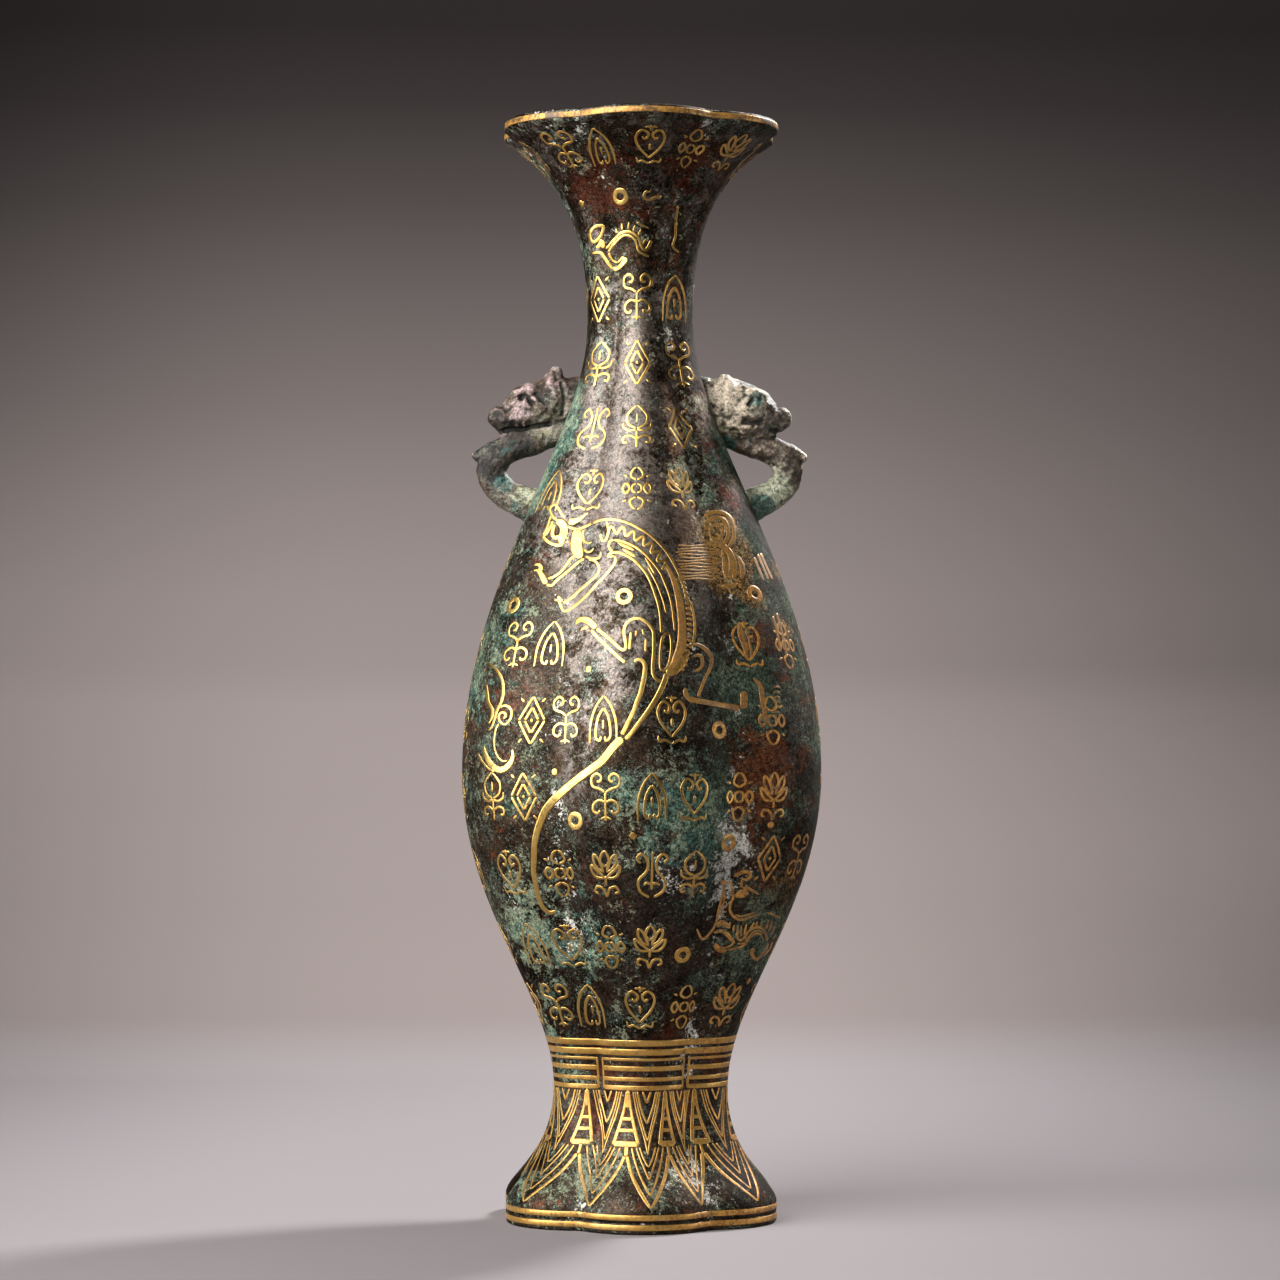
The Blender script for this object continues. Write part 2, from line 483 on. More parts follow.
def handle_finish():
    """Corroded bronze of the handles: pale high spots, black crevices, green on the loop."""
    material, tree, shader, output, place = new_finish("corroded_handle_bronze")
    field = patina_fields(tree, place)
    relief = attribute(tree, "relief")
    axes = node(tree, "ShaderNodeSeparateXYZ", {"Vector": place})
    flat = node(tree, "ShaderNodeVectorMath", {0: place, 1: (1, 0, 1)}, operation="MULTIPLY").outputs["Vector"]
    colour = blend(tree, band(tree, field["medium"], 0.38, 0.60), (0.010, 0.007, 0.004, 1), (0.096, 0.062, 0.039, 1))
    olive_share = maths(tree, "MULTIPLY", near_spots(tree, flat, OLIVE_SPOTS), band(tree, field["fine"], 0.42, 0.56))
    colour = blend(tree, olive_share, colour, (0.29, 0.28, 0.12, 1))
    high = maths(tree, "ADD", relief, maths(tree, "MULTIPLY", field["medium"], 1.3))
    high = band(tree, maths(tree, "ADD", high, near_spots(tree, flat, PALE_SPOTS)), 0.68, 1.12)
    pale = blend(tree, band(tree, axes.outputs["X"], -0.01, 0.01), (0.37, 0.265, 0.25, 1), (0.66, 0.55, 0.41, 1))
    pale = blend(tree, band(tree, axes.outputs["Z"], 0.270, 0.280, 1.0, 0.0), pale, (0.46, 0.47, 0.33, 1))
    colour = blend(tree, maths(tree, "MULTIPLY", high, 0.9), colour, pale)
    teal = band(tree, maths(tree, "ADD", field["coarse"], near_spots(tree, flat, TEAL_SPOTS)), 0.56, 0.64)
    mineral = blend(tree, band(tree, field["fine"], 0.35, 0.65), (0.008, 0.030, 0.025, 1), (0.085, 0.215, 0.185, 1))
    colour = blend(tree, maths(tree, "MULTIPLY", teal, 0.85), colour, mineral)
    colour = blend(tree, maths(tree, "MULTIPLY", field["pale"], 0.3), colour, (0.34, 0.34, 0.26, 1))
    colour = blend(tree, maths(tree, "MULTIPLY", field["specks"], 0.65), colour, BLACK_SKIN)
    colour = blend(tree, band(tree, relief, -0.42, -0.05, 0.93, 0.0), colour, (0.008, 0.008, 0.006, 1))
    shade = band(tree, near_spots(tree, flat, DARK_SPOTS), 0, 1, 1.0, 0.15)
    colour = scaled(tree, colour, maths(tree, "MULTIPLY", shade, band(tree, field["grain"], 0.38, 0.62, 0.40, 1.5)))
    tree.links.new(colour, shader.inputs["Base Color"])
    shader.inputs["Metallic"].default_value = 0.2
    shader.inputs["Specular IOR Level"].default_value = 0.35
    tree.links.new(band(tree, field["fine"], 0.3, 0.7, 0.30, 0.60), shader.inputs["Roughness"])
    tree.links.new(bump(tree, maths(tree, "ADD", field["fine"], field["medium"]), 0.8, 0.0008),
                   shader.inputs["Normal"])
    return material


BRONZE = bronze_finish()
GOLD = gold_finish("inlaid_gold", 0.85)
DIM_GOLD = gold_finish("dim_gold", 1.0, 0.8)
HANDLE_BRONZE = handle_finish()
print("finishes:", [material.name for material in bpy.data.materials])


# %% [markdown]
# A new piece is a grid of points: rings that follow one another, each with the same number of
# points. One helper turns such a grid into a mesh, joins the last ring to the first where the
# shape closes on itself, and writes the points in one call.

# %% Mesh helpers
def grid_faces(rings, around, joined):
    """Quads between neighbouring rings; each ring is closed on itself."""
    spans = rings if joined else rings - 1
    here = np.arange(spans)[:, None] * around
    above = (np.arange(spans)[:, None] + 1) % rings * around
    step = np.arange(around)[None, :]
    after = (step + 1) % around
    return np.stack([here + step, here + after, above + after, above + step], axis=-1).reshape(-1, 4)


def make_piece(name, points, faces, finish, smooth=True):
    """A mesh object at the origin from points in millimetres and equal-sized faces."""
    mesh = bpy.data.meshes.new(name)
    corners = faces.shape[1]
    mesh.vertices.add(len(points))
    mesh.vertices.foreach_set("co", (np.asarray(points, float) * MM).ravel())
    mesh.loops.add(faces.size)
    mesh.loops.foreach_set("vertex_index", faces.ravel().astype(np.int32))
    mesh.polygons.add(len(faces))
    mesh.polygons.foreach_set("loop_start", np.arange(len(faces), dtype=np.int32) * corners)
    mesh.update(calc_edges=True)
    mesh.polygons.foreach_set("use_smooth", np.full(len(faces), smooth))
    mesh.materials.append(finish)
    mesh.validate()
    piece = bpy.data.objects.new(name, mesh)
    bpy.context.scene.collection.objects.link(piece)
    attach(piece, "root")
    return piece


# %% [markdown]
# The skin of the body runs up the outside, over the lip and down the inside to the ledge that
# holds the base plate, so it is one closed wall with real thickness. The groove depth at each
# point is stored on the mesh, because the crust gathers there.

# %% Body outline, outside and inside
AROUND = 288
GROOVE_CROWDING = 0.55
RIM_EDGE = 1.0


def quarter_round(centre, radius, start, end, count=5):
    """Arc from one angle to another, in degrees from the outward direction."""
    angle = np.radians(np.linspace(start, end, count))
    return np.stack([centre[0] + radius * np.cos(angle), centre[1] + radius * np.sin(angle)], axis=-1)


def inner_outline():
    """The outline moved inwards along its normal by a wall that thins towards the lip."""
    heights = np.linspace(PLATE_LEDGE + 1.5, LIP[1], 86)
    along = np.gradient(OUTLINE, axis=0)
    along /= np.linalg.norm(along, axis=1, keepdims=True)
    wall = FOOT_WALL + (LIP_WALL - FOOT_WALL) * OUTLINE[:, 1:] / HEIGHT
    moved = OUTLINE + wall * np.stack([-along[:, 1], along[:, 0]], axis=-1)
    order = np.argsort(moved[:, 1])
    top = moved[:, 1].max()
    heights = np.linspace(PLATE_LEDGE + 1.5, top, 88)
    return np.stack([np.interp(heights, moved[order, 1], moved[order, 0]), heights], axis=-1)[::-1]


def outer_outline():
    """Rounded foot edge, rim with a scored line between its gold bands, flowing side, lip."""
    spacing = np.r_[0, np.cumsum(np.linalg.norm(np.diff(OUTLINE, axis=0), axis=1))]
    even = np.linspace(0, spacing[-1], 214)
    side = np.stack([np.interp(even, spacing, OUTLINE[:, axis]) for axis in (0, 1)], axis=-1)
    score = np.array([(0, 3.5), (-0.35, 3.7), (-0.35, 4.2), (0, 4.4)]) + (FOOT[0], 0)
    lip_top = quarter_round((LIP[0] - 1.3, HEIGHT - 1.3), 1.3, 0, 90, 7)
    return np.vstack([
        quarter_round((FOOT[0] - RIM_EDGE, RIM_EDGE), RIM_EDGE, -90, 0, 5),
        [(FOOT[0], 2.4)], score, [(FOOT[0], 6.2)], side, lip_top])


def foot_inside():
    """Down from the inner wall over the ledge to the ground edge of the rim."""
    rim = FOOT[0] - FOOT_RIM_WALL
    return np.array([(rim - 1.2, PLATE_LEDGE), (rim, PLATE_LEDGE), (rim, 3.0), (rim, 0.5), (rim + 0.4, 0)])


def body_skin():
    """Rings of the lobed section along the whole outline."""
    outline = np.vstack([outer_outline(), inner_outline(), foot_inside()])
    turn = np.linspace(0, 2 * math.pi, AROUND, endpoint=False)
    turn = turn + GROOVE_CROWDING * np.sin(LOBES * turn) / LOBES
    turn, height = np.meshgrid(turn, outline[:, 1])
    radius = outline[:, :1] * lobe_share(turn, height) + hand_waver(turn, height)
    points = np.stack([radius * np.sin(turn), -radius * np.cos(turn), height], axis=-1)
    from_crest = np.abs(turn - LOBE * np.round(turn / LOBE)) / (LOBE / 2)
    return points, from_crest


body_points, body_groove = body_skin()
body = make_piece("cast_body", body_points.reshape(-1, 3),
                  grid_faces(len(body_points), AROUND, True), BRONZE)
groove_layer = body.data.attributes.new("groove", "FLOAT", "POINT")
groove_layer.data.foreach_set("value", body_groove.ravel().astype(np.float32))
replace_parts(body, "vase_body")
print("body rings:", len(body_points), "triangles:", 2 * len(body.data.polygons))


# %% [markdown]
# The gold bands run right round in their channels. Each is a closed ring whose section is a low
# dome: its middle stands a tenth of a millimetre proud, where polishing rounds the edges.

# %% Gold bands
def band_ring(low, high, count=288):
    """Closed ring between two heights: seven points of a low dome, carried round the lobes."""
    share = np.array([0, 0, 0.12, 0.5, 0.88, 1, 1])
    proud = np.array([-0.6, 0.02, 0.1, 0.13, 0.1, 0.02, -0.6])
    turn = np.linspace(0, 2 * math.pi, count, endpoint=False)
    height = low + (high - low) * share
    turn, height = np.meshgrid(turn, height)
    points = on_body(turn, height) + body_normal(turn, height) * proud[:, None, None]
    return points.reshape(-1, 3), grid_faces(len(share), count, True)


def gold_band(name, low, high, node_name=None):
    points, faces = band_ring(low, high)
    piece = make_piece(name, points, faces, GOLD)
    if node_name:
        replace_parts(piece, node_name)
    return piece


WAIST_BANDS = [(61.5, 63.8), (64.8, 67.1)]
FOOT_BANDS = [(1.5, 3.5), (5.0, 7.0)]
for index, (low, high) in enumerate(WAIST_BANDS, 1):
    gold_band(f"waist_band_{index}", low, high, f"waist_gold_band_{index}")
for index, (low, high) in enumerate(FOOT_BANDS, 1):
    gold_band(f"foot_band_{index}", low, high, f"foot_gold_band_{index}")
gold_band("lip_band", HEIGHT - 3.1, HEIGHT - 1.0, "lip_gold_band")
print("gold bands:", 2 + 2 + 1)


# %% [markdown]
# All other gold is a strip along a line: a legged scroll, a dragon's back or the blade of a
# lappet. So one function carries a low domed section along a smooth path. The path is drawn flat,
# in millimetres, and every point of the section is laid on the body by itself, so that a broad
# strip bends over the lobes and never floats.

# %% Strips of gold
STRIP_ACROSS = np.array([-0.5, -0.5, -0.34, 0.0, 0.34, 0.5, 0.5])
STRIP_PROUD = np.array([-0.35, 0.015, 0.045, 0.06, 0.045, 0.015, -0.35])
STEP = 0.55
SUBSTEPS = 12


def smooth_path(points, step=STEP):
    """Catmull-Rom curve through the points, resampled at even steps of arc length. Gives the
    path, the share of the way in points, and the length so far. A closed line stays closed."""
    points = np.asarray(points, float)
    closed = np.allclose(points[0], points[-1])
    before = points[-2] if closed else 2 * points[0] - points[1]
    after = points[1] if closed else 2 * points[-1] - points[-2]
    padded = np.vstack([before, points, after])
    t = np.linspace(0, 1, SUBSTEPS, endpoint=False)[:, None, None]
    a, b, c, d = (padded[i:len(padded) - 3 + i][None] for i in range(4))
    dense = 0.5 * (2 * b + (c - a) * t + (2 * a - 5 * b + 4 * c - d) * t ** 2
                   + (3 * b - a - 3 * c + d) * t ** 3)
    dense = np.vstack([dense.transpose(1, 0, 2).reshape(-1, 2), points[-1:]])
    knots = np.linspace(0, 1, len(dense))
    length = np.r_[0, np.cumsum(np.linalg.norm(np.diff(dense, axis=0), axis=1))]
    even = np.linspace(0, length[-1], max(int(length[-1] / step) + 1, 5))
    path = np.stack([np.interp(even, length, dense[:, axis]) for axis in (0, 1)], axis=-1)
    return path, np.interp(even, length, knots), even


def strip_rings(points, widths, lay):
    """Section points along a path: across it by the width, proud of the body along its normal.
    An open line has rounded ends: the width falls to nothing along a half circle."""
    path, knots, along = smooth_path(points)
    closed = np.allclose(path[0], path[-1])
    given = np.atleast_1d(np.asarray(widths, float))
    width = np.interp(knots, np.linspace(0, 1, len(given)), given)
    direction = np.gradient(path, axis=0)
    if closed:
        direction[[0, -1]] = path[1] - path[-2]
    else:
        end = np.clip(np.minimum(along, along[-1] - along) / (0.5 * width + 1e-6), 0, 1)
        width = width * np.sqrt(np.clip(1 - (1 - end) ** 2, 0.03, 1))
    direction /= np.linalg.norm(direction, axis=1, keepdims=True) + 1e-9
    side = np.stack([direction[:, 1], -direction[:, 0]], axis=-1)
    flat = path[:, None, :] + side[:, None, :] * (width[:, None] * STRIP_ACROSS)[:, :, None]
    if closed:
        flat = flat[:-1]
    turn, height = lay(flat[..., 0], flat[..., 1])
    return on_body(turn, height) + body_normal(turn, height) * STRIP_PROUD[None, :, None], closed


def strip_piece(name, strips, finish=None):
    """Joins strips, given as (points, widths, lay), into one piece; every strip is a closed skin."""
    around = len(STRIP_ACROSS)
    fan = np.arange(1, around - 1)
    all_points, all_faces, count = [], [], 0
    for points, widths, lay in strips:
        rings, closed = strip_rings(points, widths, lay)
        quads = grid_faces(len(rings), around, closed)[:, ::-1]
        triangles = [quads[:, [0, 1, 2]], quads[:, [0, 2, 3]]]
        if not closed:
            last = (len(rings) - 1) * around
            triangles.append(np.stack([0 * fan, fan, fan + 1], axis=-1))
            triangles.append(np.stack([0 * fan + last, last + fan + 1, last + fan], axis=-1))
        all_faces.append(np.vstack(triangles) + count)
        all_points.append(rings.reshape(-1, 3))
        count += len(rings) * around
    faces = np.vstack(all_faces)
    piece = make_piece(name, np.vstack(all_points), faces, finish or GOLD)
    print(name, "strips:", len(strips), "triangles:", len(faces))
    return piece


# %% Ways to lay a flat drawing on the body

def wrapped(turn_degrees, height):
    """Lays a drawing round a centre: millimetres across follow the skin sideways, millimetres up
    follow the slope of the outline."""
    centre = math.radians(turn_degrees)
    radius = float(crest_radius(height) * lobe_share(centre, height))
    slope = float(crest_radius(height + 1) - crest_radius(height - 1)) / 2
    stretch = math.hypot(1, slope)

    def lay(across, up):
        return centre + across / radius, height + up / stretch
    return lay


# %% [markdown]
# The waist carries, on each lobe, a panel of four gold bars between upright borders, and below it
# the hanging blades. All of it repeats from lobe to lobe, so one lobe is drawn and turned six
# times. Bars and blades stretch with the width of the lobe, as they do on the vase.

# %% Waist panels
PANEL_BARS = [(60.0, 1.0), (56.7, 1.8), (52.9, 1.5), (49.8, 1.7)]
PANEL_HALF = math.radians(28)


def upright_strip(points, widths, number):
    """A strip drawn in shares of the lobe's width; its own width is given in millimetres."""
    centre = number * LOBE

    def lay(across, height):
        width = float(crest_radius(57)) * PANEL_HALF
        return centre + across / width * PANEL_HALF, height
    width = float(crest_radius(57)) * PANEL_HALF
    return [(across * width, height) for across, height in points], widths, lay


panel_strips = []
for number in range(LOBES):
    for height, width in PANEL_BARS:
        panel_strips.append(upright_strip([(-1, height), (0, height), (1, height)], width, number))
    for side in (-1, 1):
        panel_strips.append(upright_strip([(side, 60.5), (side, 55), (side, 49)], 0.9, number))
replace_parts(strip_piece("waist_panels", panel_strips),
            *[f"waist_gold_panel_{number}" for number in range(1, LOBES + 1)])

# %% [markdown]
# Below the panels hang pointed leaves, drawn as nested V lines. Where two leaves meet, their
# edges and a few cross bars make an upright shape like a ladder that narrows to the top. The
# inlayer spaced them by eye, so the front ones are given as they lie.

# %% Hanging leaves
# Each ladder: turn from the front in degrees, and its width as a share of the widest.
LADDERS = [(-39.5, 0.70), (-10, 1.0), (13.5, 0.70), (36.5, 0.66), (68, 0.8), (103, 0.8), (135, 0.9), (165, 0.8),
           (195, 0.8), (225, 0.9), (256, 0.8), (288, 0.8)]
LEAF_RADIUS = 38
LADDER_LINES = [
    ([(0.05, 48.6), (0.16, 42.5), (0.31, 37.5), (0.45, 33.5), (0.58, 29.8)], [1.0, 1.1, 1.3, 1.4, 1.4]),
    ([(0.27, 48.6), (0.49, 41.0), (0.74, 35.2), (0.91, 30.6), (1.0, 26.6)], [0.6, 0.6, 0.6, 0.65, 0.5]),
    ([(0.38, 48.6), (0.58, 42.0), (0.82, 35.8), (1.0, 31.2)], [0.55, 0.55, 0.55, 0.5]),
    ([(0.50, 48.6), (0.64, 44.0), (0.82, 40.2), (1.0, 37.2)], [0.8, 0.8, 0.9, 0.8]),
    ([(0.78, 48.6), (1.0, 44.4)], [0.9, 0.9]),
    ([(0.62, 29.4), (0.80, 25.6), (1.0, 22.6)], [0.6, 0.6, 0.5]),
    ([(0.46, 29.4), (0.64, 25.6), (0.85, 21.6), (1.0, 18.4)], [0.65, 0.6, 0.6, 0.5]),
    ([(0.24, 29.2), (0.46, 23.6), (0.78, 17.3), (1.0, 13.4)], [0.7, 0.65, 0.6, 0.5]),
    ([(0.04, 26.4), (0.30, 20.4), (0.70, 13.8), (1.0, 9.2)], [1.3, 1.2, 1.0, 0.6]),
]
LADDER_BARS = [(38.9, 0.27, 1.3), (34.9, 0.42, 1.3), (30.3, 0.57, 2.0)]
LADDER_STEMS = [([(0, 49), (0, 46), (0, 42.6)], [1.4, 2.3, 3.2]), ([(0, 29.8), (0, 26)], 1.6)]


def leaf_lines(ladder, neighbour, wide):
    """Lines from a ladder towards its neighbour; shares of the half gap become millimetres. The
    first line is the ladder's own side and keeps its width."""
    start = math.radians(ladder)
    half_gap = math.radians(neighbour - ladder) / 2

    def lay(across, height):
        return start + across / LEAF_RADIUS, height

    reach = half_gap * LEAF_RADIUS
    shares = [wide] + [1.0] * (len(LADDER_LINES) - 1)
    return [([(share * factor * reach, height) for share, height in points], widths, lay)
            for (points, widths), factor in zip(LADDER_LINES, shares)]


def ladder_bars(ladder, left, right, wide):
    """Cross bars and stems of one ladder; its two sides may differ in width."""
    start = math.radians(ladder)

    def lay(across, height):
        return start + across / LEAF_RADIUS, height

    to_left = wide * math.radians(left - ladder) / 2 * LEAF_RADIUS
    to_right = wide * math.radians(right - ladder) / 2 * LEAF_RADIUS
    bars = [([(share * to_left, height), (0, height), (share * to_right, height)], width, lay)
            for height, share, width in LADDER_BARS]
    return bars + [(points, np.array(widths) * wide, lay) for points, widths in LADDER_STEMS]


leaf_strips = []
for place, (ladder, wide) in enumerate(LADDERS):
    right = LADDERS[(place + 1) % len(LADDERS)][0]
    right += 360 if right < ladder else 0
    left = LADDERS[place - 1][0]
    left -= 360 if left > ladder else 0
    leaf_strips += leaf_lines(ladder, right, wide) + leaf_lines(ladder, left, wide)
    leaf_strips += ladder_bars(ladder, left, right, wide)
strip_piece("hanging_leaves", leaf_strips)


# %% [markdown]
# Rings and dots are scattered over neck and belly. A ring is a strip bent into a circle; a dot is
# a short fat strip whose round ends meet.

# %% Rings and dots
RINGS = [(-17.8, 370.6), (-8.1, 224.7), (-53.7, 222.4), (-23.5, 145.7), (23.3, 177.6), (28.3, 137.8),
         (45.4, 226.3), (15.3, 98.1), (90, 223), (82, 168), (99, 114)]
DOTS = [(-53.2, 369.4), (-19.4, 198.9), (-30.7, 162.8), (-4.6, 140.6), (42.7, 144.0), (56.2, 87.4),
        (98, 194), (82, 141), (81, 90)]
RING_RADIUS = 2.35
RING_WIDTH = 1.9
DOT_RADIUS = 1.35


def ring_strips(places):
    circle = np.linspace(0, 2 * math.pi, 25)
    points = np.stack([RING_RADIUS * np.cos(circle), RING_RADIUS * np.sin(circle)], axis=-1)
    return [(points, RING_WIDTH, wrapped(turn, height)) for turn, height in places]


def dot_strips(places):
    reach = DOT_RADIUS * 0.95
    return [([(-reach, 0), (0, 0), (reach, 0)], 2 * DOT_RADIUS, wrapped(turn, height))
            for turn, height in places]


def all_round(places):
    """The places seen from the front, and the same again on the far side."""
    return places + [(turn + 180, height) for turn, height in places]


strip_piece("gold_rings", ring_strips(all_round(RINGS)))
strip_piece("gold_dots", dot_strips(all_round(DOTS)))


# %% [markdown]
# The figures were drawn by the inlayer by eye, so they are drawn here the same way: as lines on a
# flat picture held before the vase, in millimetres at the distance of the belly. Each point is
# then carried along its line of sight on to the lobed skin, where the gold is laid.

# %% Lay a picture on the body along the lines of sight
EYE_DISTANCE = 1320
EYE_HEIGHT = 170
EYE_TURN = math.radians(-2.5)
EYE_PITCH = math.atan(41 / EYE_DISTANCE)
PICTURE_DISTANCE = 1255


def from_view(turned=0.0):
    """Meets each line of sight with the skin: the crossing with a cylinder, whose radius is read
    again from the body at the last crossing, settles after a few rounds."""
    eye = np.array([EYE_DISTANCE * math.sin(EYE_TURN), -EYE_DISTANCE * math.cos(EYE_TURN), EYE_HEIGHT])
    right = np.array([math.cos(EYE_TURN), math.sin(EYE_TURN), 0])
    ahead = np.array([-math.sin(EYE_TURN) * math.cos(EYE_PITCH), math.cos(EYE_TURN) * math.cos(EYE_PITCH),
                      math.sin(EYE_PITCH)])
    upward = np.cross(right, ahead)

    def lay(across, up):
        ray = ahead * PICTURE_DISTANCE + right * across[..., None] + upward * up[..., None]
        flat = ray[..., 0] ** 2 + ray[..., 1] ** 2
        toward = eye[0] * ray[..., 0] + eye[1] * ray[..., 1]
        radius = np.full(across.shape, 50.0)
        for _ in range(14):
            spare = toward ** 2 - flat * (eye[0] ** 2 + eye[1] ** 2 - radius ** 2)
            reach = (-toward - np.sqrt(np.maximum(spare, 0))) / flat
            spot = eye + ray * reach[..., None]
            turn = np.arctan2(spot[..., 0], -spot[..., 1])
            radius = 0.5 * radius + 0.5 * crest_radius(spot[..., 2]) * lobe_share(turn, spot[..., 2])
        return turn + turned, spot[..., 2]
    return lay


def drawn(strokes, origin, step, turned=0.0):
    """Strokes on squared paper, (points, widths), put at an origin with a step in millimetres."""
    lay = from_view(turned)
    return [([(origin[0] + step * x, origin[1] - step * y) for x, y in points], widths, lay)
            for points, widths in strokes]


# %% [markdown]
# The great dragon climbs over the front lobe: its head is at the upper left, its back arches to
# the right, and the tail sweeps down to the left and ends in a hook. Wide strokes are solid
# patches of gold; the others are lines of about a millimetre.

# %% Front dragon
DRAGON_HEAD = [
    ([(25, 28), (20.5, 24), (18, 18.5), (19, 14.8), (22.5, 13.5), (25.5, 16), (29, 22), (33, 26)], 1.0),
    ([(23, 29), (28, 30), (31, 34), (31, 40), (29, 46), (30, 51)], [1.6, 3.2, 3.4, 3.4, 3.0, 1.2]),
    ([(22.5, 31), (21, 36), (20.5, 40), (21.5, 43), (24.5, 44), (26.5, 41)], 1.4),
    ([(11, 42), (15, 46.5), (20, 49.5), (26, 51), (31, 50.5)], [1.6, 1.1, 1.1, 1.1, 0.8]),
    ([(19, 23), (17, 30), (14.5, 37), (11, 42)], 0.8),
    ([(11, 42), (15, 40), (19, 33), (21, 28)], 1.0),
    ([(35, 28.5), (40, 29), (46, 26.5), (50, 23.5), (54, 20.5)], [3.0, 2.4, 1.6, 0.9, 0.4]),
    ([(34, 33), (38, 35), (44, 36), (48, 35), (52, 33), (57, 30.5)], 0.9),
    ([(43, 36), (43.5, 43), (42.5, 50), (44, 57), (47, 63)], [4.2, 4.2, 4.6, 4.4, 2.4]),
    ([(33, 40), (36, 40)], 0.5), ([(33, 44), (36, 44)], 0.5), ([(32.5, 48), (36, 48)], 0.5),
    ([(48, 44), (50, 47.5), (54, 49), (57.5, 47.5)], [0.9, 0.9, 0.7, 0.4]),
    ([(49, 54), (52, 57), (56, 56.5), (59, 53)], [0.9, 0.9, 0.7, 0.4]),
    ([(50, 61), (56, 63), (62, 63), (65, 60), (64.5, 56)], [0.9, 0.9, 0.9, 0.7, 0.4]),
    ([(49.5, 36), (48.5, 41), (49.5, 45)], 0.8),
]
DRAGON_BODY = [
    ([(57, 30.5), (64, 28), (73, 27), (82, 28), (92, 31), (100, 35), (108, 39.5), (115, 45), (121, 51),
      (127, 58), (133, 68), (138, 78), (142, 89), (145, 100), (149, 106.5), (152, 121.5),
      (151.7, 136.5), (148, 146)], 0.9),
    ([(70, 28), (71.5, 33), (72, 38)], 0.8),
    ([(78, 45.5), (74, 47), (72.5, 51), (74, 55), (77, 57)], 1.0),
    ([(77, 46), (84, 47), (92, 50), (99, 53.5), (106, 59), (112, 65), (117, 71), (121, 77), (125, 86),
      (129, 97), (131.5, 108), (133, 120), (134, 130)], 0.9),
    ([(80, 48), (86, 51), (92, 53.5), (97, 56)], [0.4, 1.2, 1.2, 0.4]),
    ([(85, 54), (90, 57), (95, 60), (98.5, 61.5)], [0.4, 1.2, 1.2, 0.4]),
    ([(71, 60), (77, 57.5), (83, 58), (90, 61), (97, 65.5), (103, 71.5), (108, 78), (112, 86),
      (115, 94), (118, 103), (120, 112), (121, 122), (121.5, 132)], 1.0),
    ([(106, 62), (111, 69), (115, 76), (116, 78)], [0.4, 1.1, 1.0, 0.4]),
    ([(109, 71), (114, 80), (118, 88), (121, 96), (124, 105), (126, 114)], 0.7),
    ([(128.7, 132.5), (122.7, 135.5), (120.7, 146.5), (120.2, 161.5), (122.7, 166.5), (126.7, 163.5),
      (129.7, 153.5), (130.7, 141.5), (128.7, 132.5)], 0.9),
    ([(145.7, 148.5), (139.7, 157.5), (131.7, 165.5), (126.7, 170.5)], [1.5, 4.5, 4.5, 2.5]),
]
DRAGON_LEGS = [
    ([(43, 60), (38, 63), (33, 70), (28, 76), (22, 80), (16, 82)], 0.9),
    ([(50, 63), (44, 67), (36, 74), (30, 79), (24, 84), (20, 88), (14.5, 87)], 1.0),
    ([(15, 87), (12, 81), (9, 75.5), (10, 71), (7, 68.5), (3.5, 69.5)], [2.2, 2.2, 1.8, 1.5, 1.0, 0.5]),
    ([(9, 76), (6, 74), (2.5, 74.5)], [1.0, 0.8, 0.3]),
    ([(39.5, 64), (40.5, 64)], 1.0), ([(36.5, 68), (37.5, 68)], 1.0),
    ([(53, 64), (58, 64.5), (62, 68), (63.5, 74), (60, 80), (53, 86), (46, 92), (39, 99), (33, 103),
      (30, 104)], 1.0),
    ([(78, 60), (78.5, 66), (75, 72), (69, 79), (62, 86), (55, 94), (48, 101), (41, 107),
      (36, 110.5), (31, 111.5), (28.5, 107), (26.5, 102)], 1.0),
    ([(30, 104), (27, 100.5), (26, 97)], [2.4, 1.8, 0.6]),
    ([(26, 102), (22, 101.5)], [0.8, 0.3]),
    ([(70, 60.5), (74, 61.5), (78, 60)], 0.8),
    ([(42, 124.5), (44, 120.5), (48, 119.3), (53, 120.5), (57, 123.5), (61, 127.5)],
     [0.5, 1.6, 2.2, 2.8, 2.6, 2.0]),
    ([(46, 130), (49.5, 127.5), (54, 126.5)], [0.3, 1.0, 1.4]),
    ([(61, 127.5), (70, 134.5), (78, 141.5), (83.5, 146.5), (86.8, 147.5), (88.5, 144.5),
      (88, 139.5), (86.8, 131.5), (87.8, 125.5), (91.8, 120.5), (97.8, 118.5), (103.8, 119.5),
      (109.8, 124), (113.8, 130), (114.3, 136.5), (114.3, 149.5), (113.3, 161.5), (113.8, 169.5),
      (116.8, 174.5), (121.8, 177)], 1.2),
    ([(55.7, 128.5), (61.7, 135.5), (69.7, 143), (77.7, 150.5), (83.7, 156), (88.2, 159.5)], 1.2),
    ([(93.2, 130.5), (91.7, 147.5)], 1.0), ([(98.2, 129), (97.7, 135)], 0.8),
    ([(103.7, 128), (105.2, 134)], 0.8), ([(107.2, 136.5), (106.7, 149.5)], 0.9),
]
